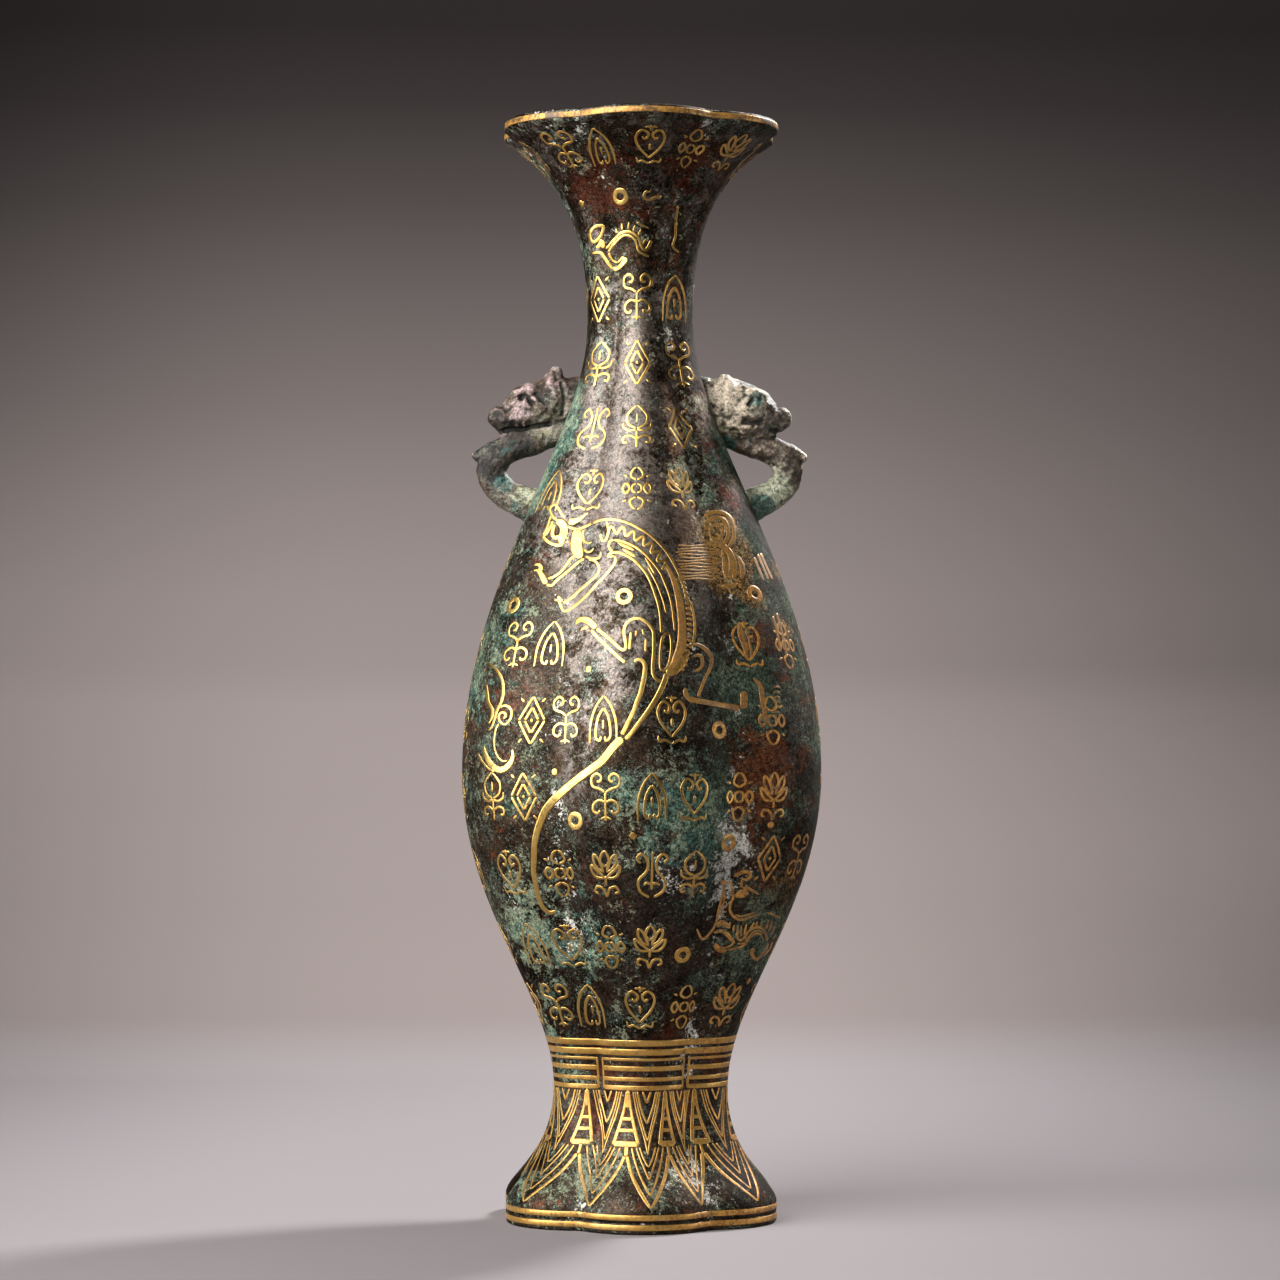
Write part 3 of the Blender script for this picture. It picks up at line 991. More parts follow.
DRAGON_TAIL = [
    ([(95.7, 158.5), (99.7, 156.5), (103.7, 157.5), (106.2, 161.5), (105.7, 169.5), (104.2, 177.5),
      (102.2, 186.5), (99.2, 194.5), (95.7, 204.5), (91.7, 212.5), (87.7, 220.5), (84.7, 226.5)],
     [1.0, 1.3, 1.5, 1.5, 1.5, 1.6, 1.6, 1.7, 1.7, 1.7, 1.7, 1.7]),
    ([(126.7, 168.5), (123.7, 177.5), (118.7, 188.5), (112.7, 198.5), (105.7, 208.5), (98.7, 217.5),
      (92.7, 225.5), (87.7, 230.5)], [1.9, 1.9, 1.9, 1.8, 1.7, 1.6, 1.6, 1.6]),
    ([(86, 229), (78, 236), (66.4, 249.9), (57, 257), (45.7, 265), (36.3, 272.5), (26.9, 281),
      (19.4, 288.5), (13.7, 296), (9.5, 305.5), (6.2, 314.9), (3.9, 326.2), (3.4, 338.4),
      (2.9, 350.6), (4.3, 360), (6.2, 370.4), (9, 379.8), (12.8, 386.4), (18.4, 390.2), (24.1, 388.3)],
     [3.1, 3.1, 3.1, 3.1, 3.0, 3.0, 3.0, 2.9, 2.8, 2.6, 2.4, 2.2, 2.1, 1.9, 1.8, 1.7, 1.6, 1.5, 1.4, 1.0]),
]
BACK_PATCH = ([(124, 66), (131.5, 80), (136, 93), (138.8, 107), (140.6, 124.5), (140.2, 141), (137, 156), (130, 168)],
              [1.0, 1.8, 2.4, 2.8, 3.0, 3.4, 4.4, 2.4])
SPINE_PATH = [(72.5, 37), (82, 37), (92, 40), (100, 44), (108, 49), (115, 56), (121, 64), (126, 72.5)]


def spine_wave():
    """A snaking line beside the back: a sine across the path, one wave to every ten steps."""
    path, _, along = smooth_path(SPINE_PATH, 1.0)
    direction = np.gradient(path, axis=0)
    direction /= np.linalg.norm(direction, axis=1, keepdims=True)
    side = np.stack([direction[:, 1], -direction[:, 0]], axis=-1)
    swing = 3.4 * np.sin(along * 2 * math.pi / 10)
    wave = path + side * swing[:, None]
    hook = [(64.5, 39.5), (66, 46), (69, 46.5), (71, 43)]
    return [(hook + [tuple(point) for point in wave], 1.1)]


def back_scales():
    """Short marks that lean outwards from the patch along the back, one to every 4.5 steps."""
    path, _, _ = smooth_path(BACK_PATCH[0], 4.5)
    ahead = np.gradient(path, axis=0)
    ahead /= np.linalg.norm(ahead, axis=1, keepdims=True)
    outward = np.stack([ahead[:, 1], -ahead[:, 0]], axis=-1)
    inner, outer = path + 4.5 * outward, path + 9.5 * outward + 3.0 * ahead
    return [([tuple(start), tuple((start + end) / 2 - way), tuple(end)], [1.3, 1.1, 0.6])
            for start, end, way in zip(inner[4:-2], outer[4:-2], ahead[4:-2])]


FRONT_DRAGON = DRAGON_HEAD + DRAGON_BODY + DRAGON_LEGS + DRAGON_TAIL + spine_wave()
FRONT_ORIGIN = (-38.45, 52.44)
FRONT_STEP = 0.3789
for name, turned in (("front_dragon", 0), ("rear_dragon", math.pi)):
    strip_piece(name, drawn(FRONT_DRAGON, FRONT_ORIGIN, FRONT_STEP, turned))
DRAGON_BACK = [BACK_PATCH] + back_scales()
strip_piece("dragon_backs", drawn(DRAGON_BACK, FRONT_ORIGIN, FRONT_STEP)
            + drawn(DRAGON_BACK, FRONT_ORIGIN, FRONT_STEP, math.pi), DIM_GOLD)

# %% [markdown]
# Three smaller dragons fill the places between: one lies across the neck, one curls into a scroll
# at the left, and one climbs at the lower right. They are drawn on squared paper of their own.

# %% Small dragons
NECK_DRAGON = [
    ([(32.5, 50.5), (25, 50.5), (19.5, 56), (20, 64), (24, 65.5), (30, 60), (32, 54.5), (32.5, 50.5)], 1.2),
    ([(24, 71.5), (29, 69), (31, 65), (32.5, 70), (34.5, 71.5)], [0.6, 1.8, 2.0, 2.0, 1.0]),
    ([(34.5, 71.5), (37, 71), (42, 65), (47, 59), (52, 56), (58, 56), (64, 59), (68, 63), (70, 69),
      (72, 73), (76, 72), (80, 64)], 1.1),
    ([(37.5, 76), (42, 69), (47, 63), (52, 59.5), (57, 59.5), (62.5, 62.5), (65.5, 68), (67, 74),
      (71, 77), (77, 80)], 0.9),
    ([(20, 77), (29, 76), (33, 80), (37, 86), (42, 91.5), (46, 91.5), (52, 86), (55, 81)],
     [0.9, 1.0, 1.1, 1.3, 1.5, 1.5, 1.8, 2.6]),
    ([(38, 76), (40, 81), (43, 85), (47, 85), (50, 82), (53, 80)], 0.9),
    ([(65, 46), (70, 49), (77, 52)], [0.5, 1.0, 0.5]),
    ([(78, 16), (74, 17), (72.5, 20), (74, 23.5), (79, 24), (85, 21.5), (90, 21.5)], 0.9),
    ([(106, 30), (104, 45), (103.5, 60), (101, 70), (107, 76)], 0.8),
    ([(45.5, 58), (44.5, 52)], [1.0, 0.5]), ([(51, 54.5), (50.5, 47.5)], [1.0, 0.5]),
    ([(57, 54), (57.5, 46.5)], [1.0, 0.5]), ([(62, 56), (63.5, 49)], [1.0, 0.5]),
    ([(67, 60), (69.5, 53)], [1.0, 0.5]), ([(71.5, 68), (75, 62)], [1.0, 0.5]),
]
SCROLL_DRAGON = [
    ([(29, 24), (35, 28), (40, 34), (43.5, 41), (45, 49), (44.5, 57), (43, 64), (40, 70), (37.5, 76),
      (35.5, 83), (33, 90), (29, 95)], [0.6, 0.9, 1.0, 1.1, 1.1, 1.2, 1.1, 1.1, 1.0, 1.0, 0.9, 0.6]),
    ([(40, 70), (46, 68.5), (51, 70), (53.5, 75), (52.5, 82), (48, 87.5), (43, 87), (40, 82),
      (41, 77), (45, 75.5), (47.5, 78), (46.5, 81), (44, 81)], 0.9),
    ([(40, 87), (37, 93), (35.5, 100), (35, 108), (36, 115), (39, 122), (44, 126.5), (49, 126)], 0.7),
    ([(24, 110), (26, 120), (31, 129), (38, 135), (45, 135), (51, 130), (54.5, 123), (54.5, 114)],
     [0.6, 1.6, 2.2, 2.4, 2.4, 2.2, 1.5, 0.5]),
    ([(18, 118), (22, 126), (29, 134), (36, 138)], 0.7),
    ([(27, 45), (28, 56), (29, 65), (33, 72), (33, 80), (29, 88)], [0.6, 1.2, 1.3, 1.3, 1.2, 0.5]),
]
CLIMBING_DRAGON = [
    ([(53, 40.7), (57.6, 47.9), (55.6, 58), (52.7, 69.7), (49.8, 81.3), (47.9, 92.9), (43.6, 102.4),
      (37, 111), (31.2, 116.2), (26.9, 114), (21.8, 102.4)], [0.8] * 7 + [0.9, 1.0, 0.9, 0.5]),
    ([(60.5, 53), (57.8, 64), (55, 76), (53, 86)], 0.55),
    ([(53, 40.7), (61.7, 42.1), (69, 45)], 0.8),
    ([(67.5, 46.5), (69.7, 61), (66.1, 69.7), (65.3, 78.4), (69, 85.7), (74.8, 90), (83.5, 90.8),
      (93.7, 87.1), (104.5, 84.2)], [0.9, 0.9, 0.9, 0.9, 1.0, 1.0, 1.0, 0.9, 0.6]),
    ([(72.6, 84.6), (79, 86.6), (88, 84.6), (98, 81.2)], 0.55),
    ([(70.4, 34), (77.7, 31), (84.9, 28.3), (90.7, 29.8), (92.2, 34.8), (87.8, 38.5), (82, 39.2),
      (79.9, 45), (82, 49.4)], [0.8, 1.2, 1.3, 1.3, 1.1, 1.0, 0.9, 0.9, 0.9]),
    ([(72, 60.6), (78, 58.4), (83.5, 56.4), (90, 56.6)], [1.0, 2.6, 3.0, 1.0]),
    ([(81.3, 49.4), (89.3, 50.1), (96.6, 54.5), (103.8, 58.1)], [1.0, 1.2, 0.9, 0.5]),
    ([(48.5, 101), (53.5, 95), (60, 98), (66, 102)], [1.0, 2.0, 1.8, 1.0]),
    ([(43.6, 108.2), (54.4, 106), (61.7, 110.4), (67, 116.5), (71.9, 122)], [0.8, 1.2, 1.6, 1.5, 0.9]),
    ([(73.6, 109), (77.2, 117.4), (83.5, 116.2), (87.8, 108.9), (95.1, 102.4), (102.4, 100.9),
      (108.2, 103.1), (112.5, 110.4), (114.7, 119.1)], 0.9),
    ([(74.8, 122.4), (83.5, 121.6), (89, 114.8), (96, 107), (104, 105.2), (109, 109.5)], 0.5),
    ([(61.7, 130.7), (70.4, 129), (82, 125.6), (89, 118.6), (94, 112), (100.5, 109), (105.5, 110.4),
      (108.5, 116)], 0.75),
    ([(46.5, 121.2), (48.6, 127.8), (54.4, 131.6), (61.7, 131)], [1.0, 2.0, 1.6, 0.7]),
    ([(52, 126.3), (58.8, 127.6), (66.5, 124.9), (70.4, 121)], 0.7),
    ([(115.4, 120.5), (113.4, 128.6), (106.7, 136.5), (100.9, 143), (96.6, 140.8), (94.2, 133.6),
      (97.5, 128.4)], [0.7, 0.8, 0.8, 0.9, 1.1, 1.5, 1.8]),
    ([(121.2, 119.1), (117.5, 129), (109.5, 138.6)], 0.6),
    ([(114, 82), (122.7, 84.2), (132.9, 90)], 0.8),
    ([(132.9, 91.5), (130, 101.6), (124.5, 112), (121.2, 117)], 0.6),
] + [([(58.6 - 0.25 * step, 56 + 6.4 * step), (62 - 0.3 * step, 54.4 + 6.4 * step)], [0.8, 0.4])
     for step in range(6)] + [
    ([foot, tip], [0.9, 0.5]) for foot, tip in (
        ((63.6, 100), (66, 94)), ((69.4, 107), (71, 98)), ((75, 112), (75.6, 97)),
        ((79.4, 113), (80.6, 99)), ((84, 111), (87.4, 95.5)), ((91.8, 104), (97.5, 94)),
        ((99.5, 100), (101.6, 93)), ((106, 100.4), (107.4, 92)), ((112.5, 103), (116.4, 91.5)),
        ((116.5, 106), (121, 93.5)), ((119.5, 110.5), (125, 98)))]
SMALL_DRAGONS = {
    "neck_dragon": (NECK_DRAGON, (-24.47, 162.55), 0.3567),
    "scroll_dragon": (SCROLL_DRAGON, (-62.92, 0.0), 0.3345),
    "climbing_dragon": (CLIMBING_DRAGON, (13.98, -73.41), 0.2675),
}
for name, (strokes, origin, step) in SMALL_DRAGONS.items():
    both_sides = drawn(strokes, origin, step) + drawn(strokes, origin, step, math.pi)
    strip_piece(name, both_sides)

# %% [markdown]
# At the right side lies a fourth dragon, worn dim: its coiled face, the stripes of its mane, a
# long limb and a hooked tail. Its gold is the same, but it lies where the patina is thickest.

# %% Side dragon
COIL = [
    ([(66, 24), (71, 27), (72.5, 32), (70, 38), (65, 39.5), (61, 36), (60.5, 29), (66, 24)], 0.9),
    ([(56, 30), (57, 23), (63, 18), (71, 18), (77, 24), (78.5, 33), (76, 41), (70, 46)], 1.3),
    ([(54, 17), (62, 12.5), (72, 12.5), (80, 18), (84, 28), (83.5, 39), (79, 47)], 1.4),
    ([(72, 50), (75, 60), (76, 71), (78, 80)], [0.8, 2.0, 2.2, 1.2]),
    ([(80, 51), (84, 61), (85, 71), (84, 79)], [0.8, 2.0, 2.0, 1.0]),
    ([(88, 56), (92, 65), (93, 73), (92, 79)], [0.8, 1.8, 1.8, 0.8]),
    ([(73, 85), (80, 86.5), (88, 83)], [1.0, 2.0, 0.8]),
    ([(108, 54), (113, 66), (119, 80)], 0.9), ([(111, 53), (116, 65), (123, 80)], 0.9),
    ([(104, 57), (109, 69), (114, 81)], 0.9),
]
LOWER_LIMB = [
    ([(41, 145), (47, 144.5), (54, 148), (60, 154), (62, 162), (59, 171), (55, 179), (51.5, 188), (48, 197)],
     [0.8, 1.2, 1.4, 1.5, 1.4, 1.2, 1.1, 1.1, 1.1]),
    ([(43, 157), (48, 155), (52, 158), (52.5, 165), (48, 170), (43, 171)], [0.7, 1.1, 1.2, 1.2, 1.0, 0.6]),
    ([(35, 188), (37, 196), (43, 201), (50, 200)], [1.6, 1.8, 1.4, 0.8]),
    ([(38, 199), (52, 201.5), (72, 205), (90, 208.5)], [2.0, 1.9, 1.9, 2.2]),
    ([(94, 191), (94.6, 200), (93.5, 209)], 2.6),
    ([(90, 122), (91, 134), (95, 146), (98, 158)], [1.4, 2.0, 1.9, 1.0]),
    ([(97, 128), (100, 142), (103, 158)], 0.9),
    ([(104, 178), (111, 186), (113, 200), (117, 222)], [0.8, 1.8, 1.8, 1.0]),
    ([(127, 113), (131, 128), (135, 144), (137, 155)], 0.9),
    ([(123, 116), (127, 130), (131, 150)], 0.9),
    ([(54, 46), (62, 44), (72, 45.5), (80, 53), (82, 64), (80, 78)], [0.8, 1.6, 2.0, 2.2, 2.2, 1.4]),
] + [([(123, low), (127, low - 1.5), (131, low)], [0.4, 0.8, 0.4]) for low in range(188, 216, 5)]


def mane():
    """Twelve fine stripes behind the coil, each a little wave of its own."""
    stripes = []
    for number in range(12):
        across = np.linspace(28 + 2.5 * math.sin(2.1 * number), 69 - 1.5 * math.cos(1.7 * number), 9)
        down = 45.5 + 3.05 * number + 0.55 * np.sin(across / 5 + 1.3 * number)
        stripes.append((np.stack([across, down], axis=-1), 0.62))
    return stripes


SIDE_DRAGON = COIL + LOWER_LIMB + mane()
SIDE_ORIGIN = (3.5, 48.94)
SIDE_STEP = 0.3496
strip_piece("side_dragon", drawn(SIDE_DRAGON, SIDE_ORIGIN, SIDE_STEP)
            + drawn(SIDE_DRAGON, SIDE_ORIGIN, SIDE_STEP, math.pi), DIM_GOLD)

# %% [markdown]
# Between the dragons, small ornaments stand in columns all round the neck and belly: cloud heads,
# double scrolls, hearts, buds and lozenges. Each is drawn once in millimetres about its centre,
# and most are one half and its mirror image.

# %% Small ornaments
def mirrored(strokes):
    """The strokes and their mirror image."""
    return strokes + [([(-x, y) for x, y in points], widths) for points, widths in strokes]


LINE = 0.95
CLOUD_HEAD = mirrored([
    ([(0, 1.2), (1.6, 2.2), (3.9, 3.0), (4.2, 5.2), (2.6, 6.4), (1.2, 5.4), (1.7, 4.2), (2.7, 4.4)], LINE),
    ([(0, -1.4), (1.8, -0.8), (3.6, -1.8), (3.9, -3.6), (2.5, -4.4), (1.7, -3.4)], LINE)]) + [
    ([(0, 1.4), (0, -6.6)], LINE), ([(-1.9, -6.0), (0, -5.4), (1.9, -6.0)], [0.5, LINE, 0.5])]
ARCHES = mirrored([
    ([(0, 6.7), (2.4, 3.6), (3.9, -0.8), (4.1, -6.5)], [0.6, LINE, LINE, 0.6]),
    ([(0, 3.4), (1.5, 0.9), (2.2, -2.4), (2.1, -4.8), (0.9, -5.6), (0.6, -4.3)], LINE)]) + [
    ([(0, 0.2), (0, -2.6)], [LINE, 0.6])]
PALMETTE = mirrored([
    ([(0, 2.0), (1.3, 3.6), (0.9, 5.6), (0, 6.8)], [LINE, LINE, LINE, 0.6]),
    ([(0.6, 0.8), (2.2, 1.6), (3.4, 3.6), (3.2, 5.6), (1.9, 4.4), (1.2, 2.6), (0.6, 0.8)], LINE),
    ([(0.5, -0.9), (2.8, -0.9), (4.2, 0.8), (4.3, 2.6), (2.8, 1.2), (0.5, -0.9)], LINE),
    ([(0, -6.6), (1.0, -4.2), (3.0, -3.6), (3.7, -5.0), (2.4, -5.6)], LINE)]) + [
    ([(0, -0.4), (0, -3.2)], LINE)]
LYRE = mirrored([
    ([(0.7, -6.5), (3.4, -4.8), (3.9, -1.8), (1.5, 1.0), (1.3, 3.8), (2.9, 5.9), (4.3, 4.6), (3.3, 3.2)], LINE),
    ([(0, -2.8), (1.5, -2.4), (2.4, -3.2)], [LINE, LINE, 0.6])]) + [([(0, 6.6), (0, -4.4)], [0.6, LINE])]
LOZENGES = mirrored([([(0, 6.6), (4.0, 0)], LINE), ([(4.0, 0), (0, -6.6)], LINE),
                     ([(0, 3.6), (2.1, 0)], LINE), ([(2.1, 0), (0, -3.6)], LINE),
                     ([(2.6, 5.0), (4.0, 6.2)], [LINE, 0.6]), ([(2.6, -5.0), (4.0, -6.2)], [LINE, 0.6])]) + [
    ([(-0.5, 0), (0.5, 0)], 1.3)]
BUD = mirrored([
    ([(0, -0.6), (2.6, 0.8), (3.2, 3.4), (1.6, 5.4), (0, 6.7)], [LINE, LINE, LINE, LINE, 0.5]),
    ([(0, -0.8), (2.2, -1.2), (4.1, -0.2), (4.2, 1.4)], [LINE, LINE, LINE, 0.5]),
    ([(0, -3.8), (2.0, -2.8), (3.9, -3.4), (3.7, -5.0), (2.4, -4.7)], LINE)]) + [
    ([(0, -6.6), (0, -1)], LINE), ([(0, 1.2), (0, 4.2)], [LINE, 0.6])]
ROSETTE = mirrored([
    ([(0, 1.5), (1.3, 0.8), (1.3, -0.8), (0, -1.5)], LINE),
    ([(0, 2.6), (1.9, 3.8), (1.3, 5.8), (0, 6.7)], [LINE, LINE, LINE, 0.6]),
    ([(0, -2.6), (1.9, -3.8), (1.3, -5.8), (0, -6.7)], [LINE, LINE, LINE, 0.6]),
    ([(2.2, 0), (3.3, 1.6), (4.3, 0), (3.3, -1.6), (2.2, 0)], LINE),
    ([(2.9, 3.6), (4.2, 4.2)], [LINE, 0.6]), ([(2.9, -3.6), (4.2, -4.2)], [LINE, 0.6])])
HEART = mirrored([
    ([(0, -4.6), (3.2, -0.8), (4.1, 2.6), (2.4, 5.0), (0.6, 3.6), (1.4, 2.0), (2.3, 2.8)], LINE),
    ([(0, -6.4), (2.0, -5.4), (3.7, -5.8), (4.1, -4.2)], [LINE, LINE, LINE, 0.5])]) + [
    ([(0, 4.6), (0, 6.6)], LINE), ([(0, -1.8), (0, 0.6)], LINE), ([(-1.6, 6.0), (1.6, 6.0)], 0.8)]
ORNAMENTS = [CLOUD_HEAD, LYRE, HEART, LOZENGES, PALMETTE, ARCHES, BUD, ROSETTE]

# %% Places of the ornaments
ORNAMENT_ROWS = {
    387: [-46, -25, 2.5, 27, 52, 78, 104],
    335: [-51, -5.5, 38, 88],
    311: [-46, -5, 40],
    287: [-38, -4.5, 28],
    264: [-54, -31, -4, 20],
    208: [-47.7, -35, 37.6, 54, 75, 90, 105],
    181: [-38.8, -27, -13.6, 7, 43, 73, 90, 107],
    154: [-52.4, -41, -12.8, 1, 14, 31, 43, 74, 89, 106],
    127: [-50, -31.6, -13.8, 1.3, 15.6, 75, 92, 108],
    101: [-49.8, -34, -14.4, 1.3, 73, 90, 107],
    79: [-48.4, -30.2, -2.5, 21, 46.4, 71, 92, 112],
    132: [44.5, 58],
    236: [78, 102],
}
ORNAMENT_STRETCH = (1.22, 1.30)


def ornament_strips(low, high):
    """The ornaments of all rows between two heights, on the front and again at the back."""
    strips = []
    for row, (height, turns) in enumerate(ORNAMENT_ROWS.items()):
        if not low <= height < high:
            continue
        for column, turn in enumerate(turns):
            strokes = ORNAMENTS[(3 * row + 5 * column + row // 4) % len(ORNAMENTS)]
            for far in (0, 180):
                lay = wrapped(turn + far, height)
                strips += [(np.array(points) * ORNAMENT_STRETCH, widths, lay)
                           for points, widths in strokes]
    return strips


strip_piece("neck_ornaments", ornament_strips(250, 400))
strip_piece("belly_ornaments", ornament_strips(70, 250))

# %% [markdown]
# Each handle is a beast's head in side view: crest and brow above, a blunt snout, a mouth that is
# hardly open, and a lower jaw that runs out to a point and then turns under into the loop. On the
# real vase it was modelled in wax. Here the masses are tubes of oval section along bent lines;
# they are fused by a voxel skin, and then the features are pressed in or raised like wax.

# %% Masses of the beast head
# Each station: distance from the axis, height, half thickness seen from the side, half depth.
HEAD_MASSES = {
    "skull": [(20, 296, 7.4, 5.0), (25, 297.5, 8.4, 5.4), (31, 299.2, 9.4, 6.0), (38, 297.0, 9.0, 6.5),
              (43, 295.6, 8.2, 6.3), (46.3, 293.6, 6.6, 5.4), (48.6, 292.4, 5.5, 4.8),
              (50.6, 292.3, 5.2, 4.6), (52.0, 292.8, 4.2, 4.0)],
    "crest": [(33.4, 300, 7.0, 5.0), (32.0, 305.4, 5.0, 3.4), (30.9, 309.4, 2.6, 1.9)],
    "brow": [(37, 301.9, 3.6, 5.6), (41.5, 302.1, 3.4, 5.9), (45.2, 300.9, 2.9, 4.8)],
    "jaw": [(25, 288.6, 5.0, 4.4), (30, 287.2, 4.6, 4.2), (35, 285.5, 4.4, 4.2), (40, 283.4, 4.9, 4.1),
            (46, 282.2, 5.1, 4.1), (51.6, 279.4, 5.3, 4.0), (54.9, 274, 5.6, 3.9),
            (53.6, 268.6, 5.4, 3.8), (49.2, 264.4, 5.4, 3.8), (43.6, 261.8, 6.0, 4.1),
            (37.5, 259.6, 6.8, 4.4)],
    "jaw_tip": [(50.0, 281.4, 4.2, 3.8), (55.4, 279.6, 4.0, 3.4), (59.9, 278.5, 2.0, 2.0)],
    "mouth_web": [(28, 289.5, 3.4, 3.6), (40, 288.2, 2.6, 3.0), (50.6, 287.0, 1.6, 2.6)],
    "neck_web": [(20, 306, 3.0, 2.4), (24, 303.5, 5.0, 4.2), (28, 299, 6.4, 5.4)],
}
# The right beast has a lower crest, a rounder brow and a full cheek.
LOW_CREST = [(33.4, 298.5, 7.4, 5.2), (32.2, 303.2, 5.2, 3.6), (31.2, 306.6, 2.9, 2.2)]
ROUND_BROW = [(36.5, 300.2, 4.6, 5.8), (41.5, 300.6, 4.2, 6.1), (45.2, 299.0, 3.2, 5.0)]
FULL_CHEEK = [(27, 290.5, 5.4, 5.4), (33, 289.6, 5.8, 6.0), (40, 288.4, 5.2, 5.8), (47, 287.6, 3.6, 4.6)]
# Each stroke of the modelling tool: points seen from the side, half width, rise or (-) depth.
HEAD_STROKES = [
    ([(50.5, 294.6), (53.2, 295.2)], 0.9, 0.8),
    ([(47.6, 296.2), (49.5, 294.6)], 0.7, -0.8),
    ([(45.4, 301.6), (42.5, 302.9), (39.5, 302.6)], 1.1, 1.1),
    ([(43.8, 299.6), (41.5, 299.4), (39.8, 297.6)], 1.0, -1.7),
    ([(42.4, 299.2), (42.3, 299.3)], 0.75, 1.5),
    ([(36.4, 296.2), (36.0, 295.8)], 1.4, 0.8),
    ([(38.6, 300.8), (36.6, 299.2), (35.2, 297)], 1.0, -0.9),
    ([(33.2, 306), (31.8, 301), (32.2, 295)], 1.2, 0.9),
    ([(34.4, 292.6), (36.6, 291.6)], 0.8, 0.7),
    ([(45.4, 289.9), (44.6, 289.3)], 0.6, 0.8),
    ([(43.0, 290.1), (42.4, 289.6)], 0.6, 0.8),
    ([(52.5, 281.4), (47, 282.3), (41, 283.6)], 0.9, -0.5),
    ([(57.2, 277.0), (54.8, 270.5), (50.2, 265.0), (45, 262.2)], 0.8, 0.5),
    ([(31.6, 309.6), (31.0, 307)], 0.8, -0.6),
]
# The lips and the collar are sharp on the left beast; on the right one they have worn away.
LEFT_CUTS = [
    ([(54.5, 292.6), (51, 291.6), (47, 292.0), (42, 292.6), (38, 294.2)], 1.5, 0.7),
    ([(50.8, 285.2), (45, 286.4), (39, 287.8), (33, 289.0)], 0.8, 0.4),
    ([(54.2, 286.2), (51, 287.2), (48, 288.2), (44, 288.0), (39, 289.2), (33.5, 290.2)], 0.8, -1.5),
    ([(29.2, 305.5), (28.0, 300), (28.8, 293.5)], 0.8, -0.9)]
RIGHT_CUTS = [
    ([(54.4, 286.8), (51, 287.6), (48, 288.4)], 0.8, -1.6),
    ([(27, 297), (30, 296)], 1.2, -0.9), ([(30.5, 290), (33.5, 288)], 1.6, -1.2),
    ([(38.5, 291), (41.5, 290.2), (44, 291)], 1.1, -1.2), ([(36.5, 284.5), (40, 285.6)], 1.2, -0.9)]
VOXEL = 0.42


def oval_tube(stations, around=20):
    """Rings of oval section along the stations' curve; the last point of each end closes it."""
    stations = np.array(stations, float)
    knots = np.arange(len(stations))
    fine = np.linspace(0, knots[-1], 8 * len(stations))
    path = np.stack([np.interp(fine, knots, stations[:, axis]) for axis in range(4)], axis=-1)
    for _ in range(6):
        path[1:-1] = (path[:-2] + 2 * path[1:-1] + path[2:]) / 4
    along = np.gradient(path[:, :2], axis=0)
    along /= np.linalg.norm(along, axis=1, keepdims=True)
    cap = np.sqrt(1 - np.linspace(1, 0, 6, endpoint=False) ** 2)[:, None]
    reach = np.linspace(1, 0, 6, endpoint=False)[:, None]
    start = np.hstack([path[:1, :2] - along[:1] * reach * path[0, 2], path[:1, 2:] * np.maximum(cap, 0.02)])
    end = np.hstack([path[-1:, :2] + along[-1:] * reach * path[-1, 2], path[-1:, 2:] * np.maximum(cap, 0.02)])
    path = np.vstack([start, path, end[::-1]])
    along = np.vstack([np.repeat(along[:1], 6, 0), along, np.repeat(along[-1:], 6, 0)])
    side = np.stack([-along[:, 1], along[:, 0]], axis=-1)
    angle = np.linspace(0, 2 * math.pi, around, endpoint=False)
    swing = np.cos(angle)[None, :, None] * path[:, None, 2:3] * side[:, None, :]
    flat = path[:, None, :2] + swing
    depth = np.sin(angle)[None, :] * path[:, 3:4]
    return np.stack([flat[..., 0], depth, flat[..., 1]], axis=-1)


def fused_masses(masses):
    """All tubes in one mesh, wrapped by one voxel skin and smoothed. Gives points and faces."""
    around = 20
    points, faces, count = [], [], 0
    for stations in masses.values():
        rings = oval_tube(stations, around)
        points.append(rings.reshape(-1, 3))
        faces.append(grid_faces(len(rings), around, False) + count)
        first, last = count + np.arange(around), count + (len(rings) - 1) * around + np.arange(around)
        middle = np.arange(1, around - 2, 2)
        for ring in (first[::-1], last):
            faces.append(np.stack([ring[0 * middle], ring[middle], ring[middle + 1], ring[middle + 2]], axis=-1))
        count += len(rings) * around
    mesh = bpy.data.meshes.new("handle_masses")
    mesh.from_pydata((np.vstack(points) * MM).tolist(), [], np.vstack(faces).tolist())
    holder = bpy.data.objects.new("handle_masses", mesh)
    bpy.context.scene.collection.objects.link(holder)
    skin = holder.modifiers.new("skin", "REMESH")
    skin.mode = "VOXEL"
    skin.voxel_size = VOXEL * MM
    ease = holder.modifiers.new("ease", "SMOOTH")
    ease.factor = 0.5
    ease.iterations = 6
    fused = bpy.data.meshes.new_from_object(holder.evaluated_get(bpy.context.evaluated_depsgraph_get()))
    bpy.data.objects.remove(holder)
    bpy.data.meshes.remove(mesh)
    spots = np.empty(3 * len(fused.vertices), np.float32)
    normals = np.empty(3 * len(fused.vertices), np.float32)
    corners = np.empty(len(fused.loops), np.int32)
    fused.vertices.foreach_get("co", spots)
    fused.vertices.foreach_get("normal", normals)
    fused.loops.foreach_get("vertex_index", corners)
    quads = corners.reshape(-1, 4)
    bpy.data.meshes.remove(fused)
    return spots.reshape(-1, 3).astype(float) / MM, normals.reshape(-1, 3).astype(float), quads


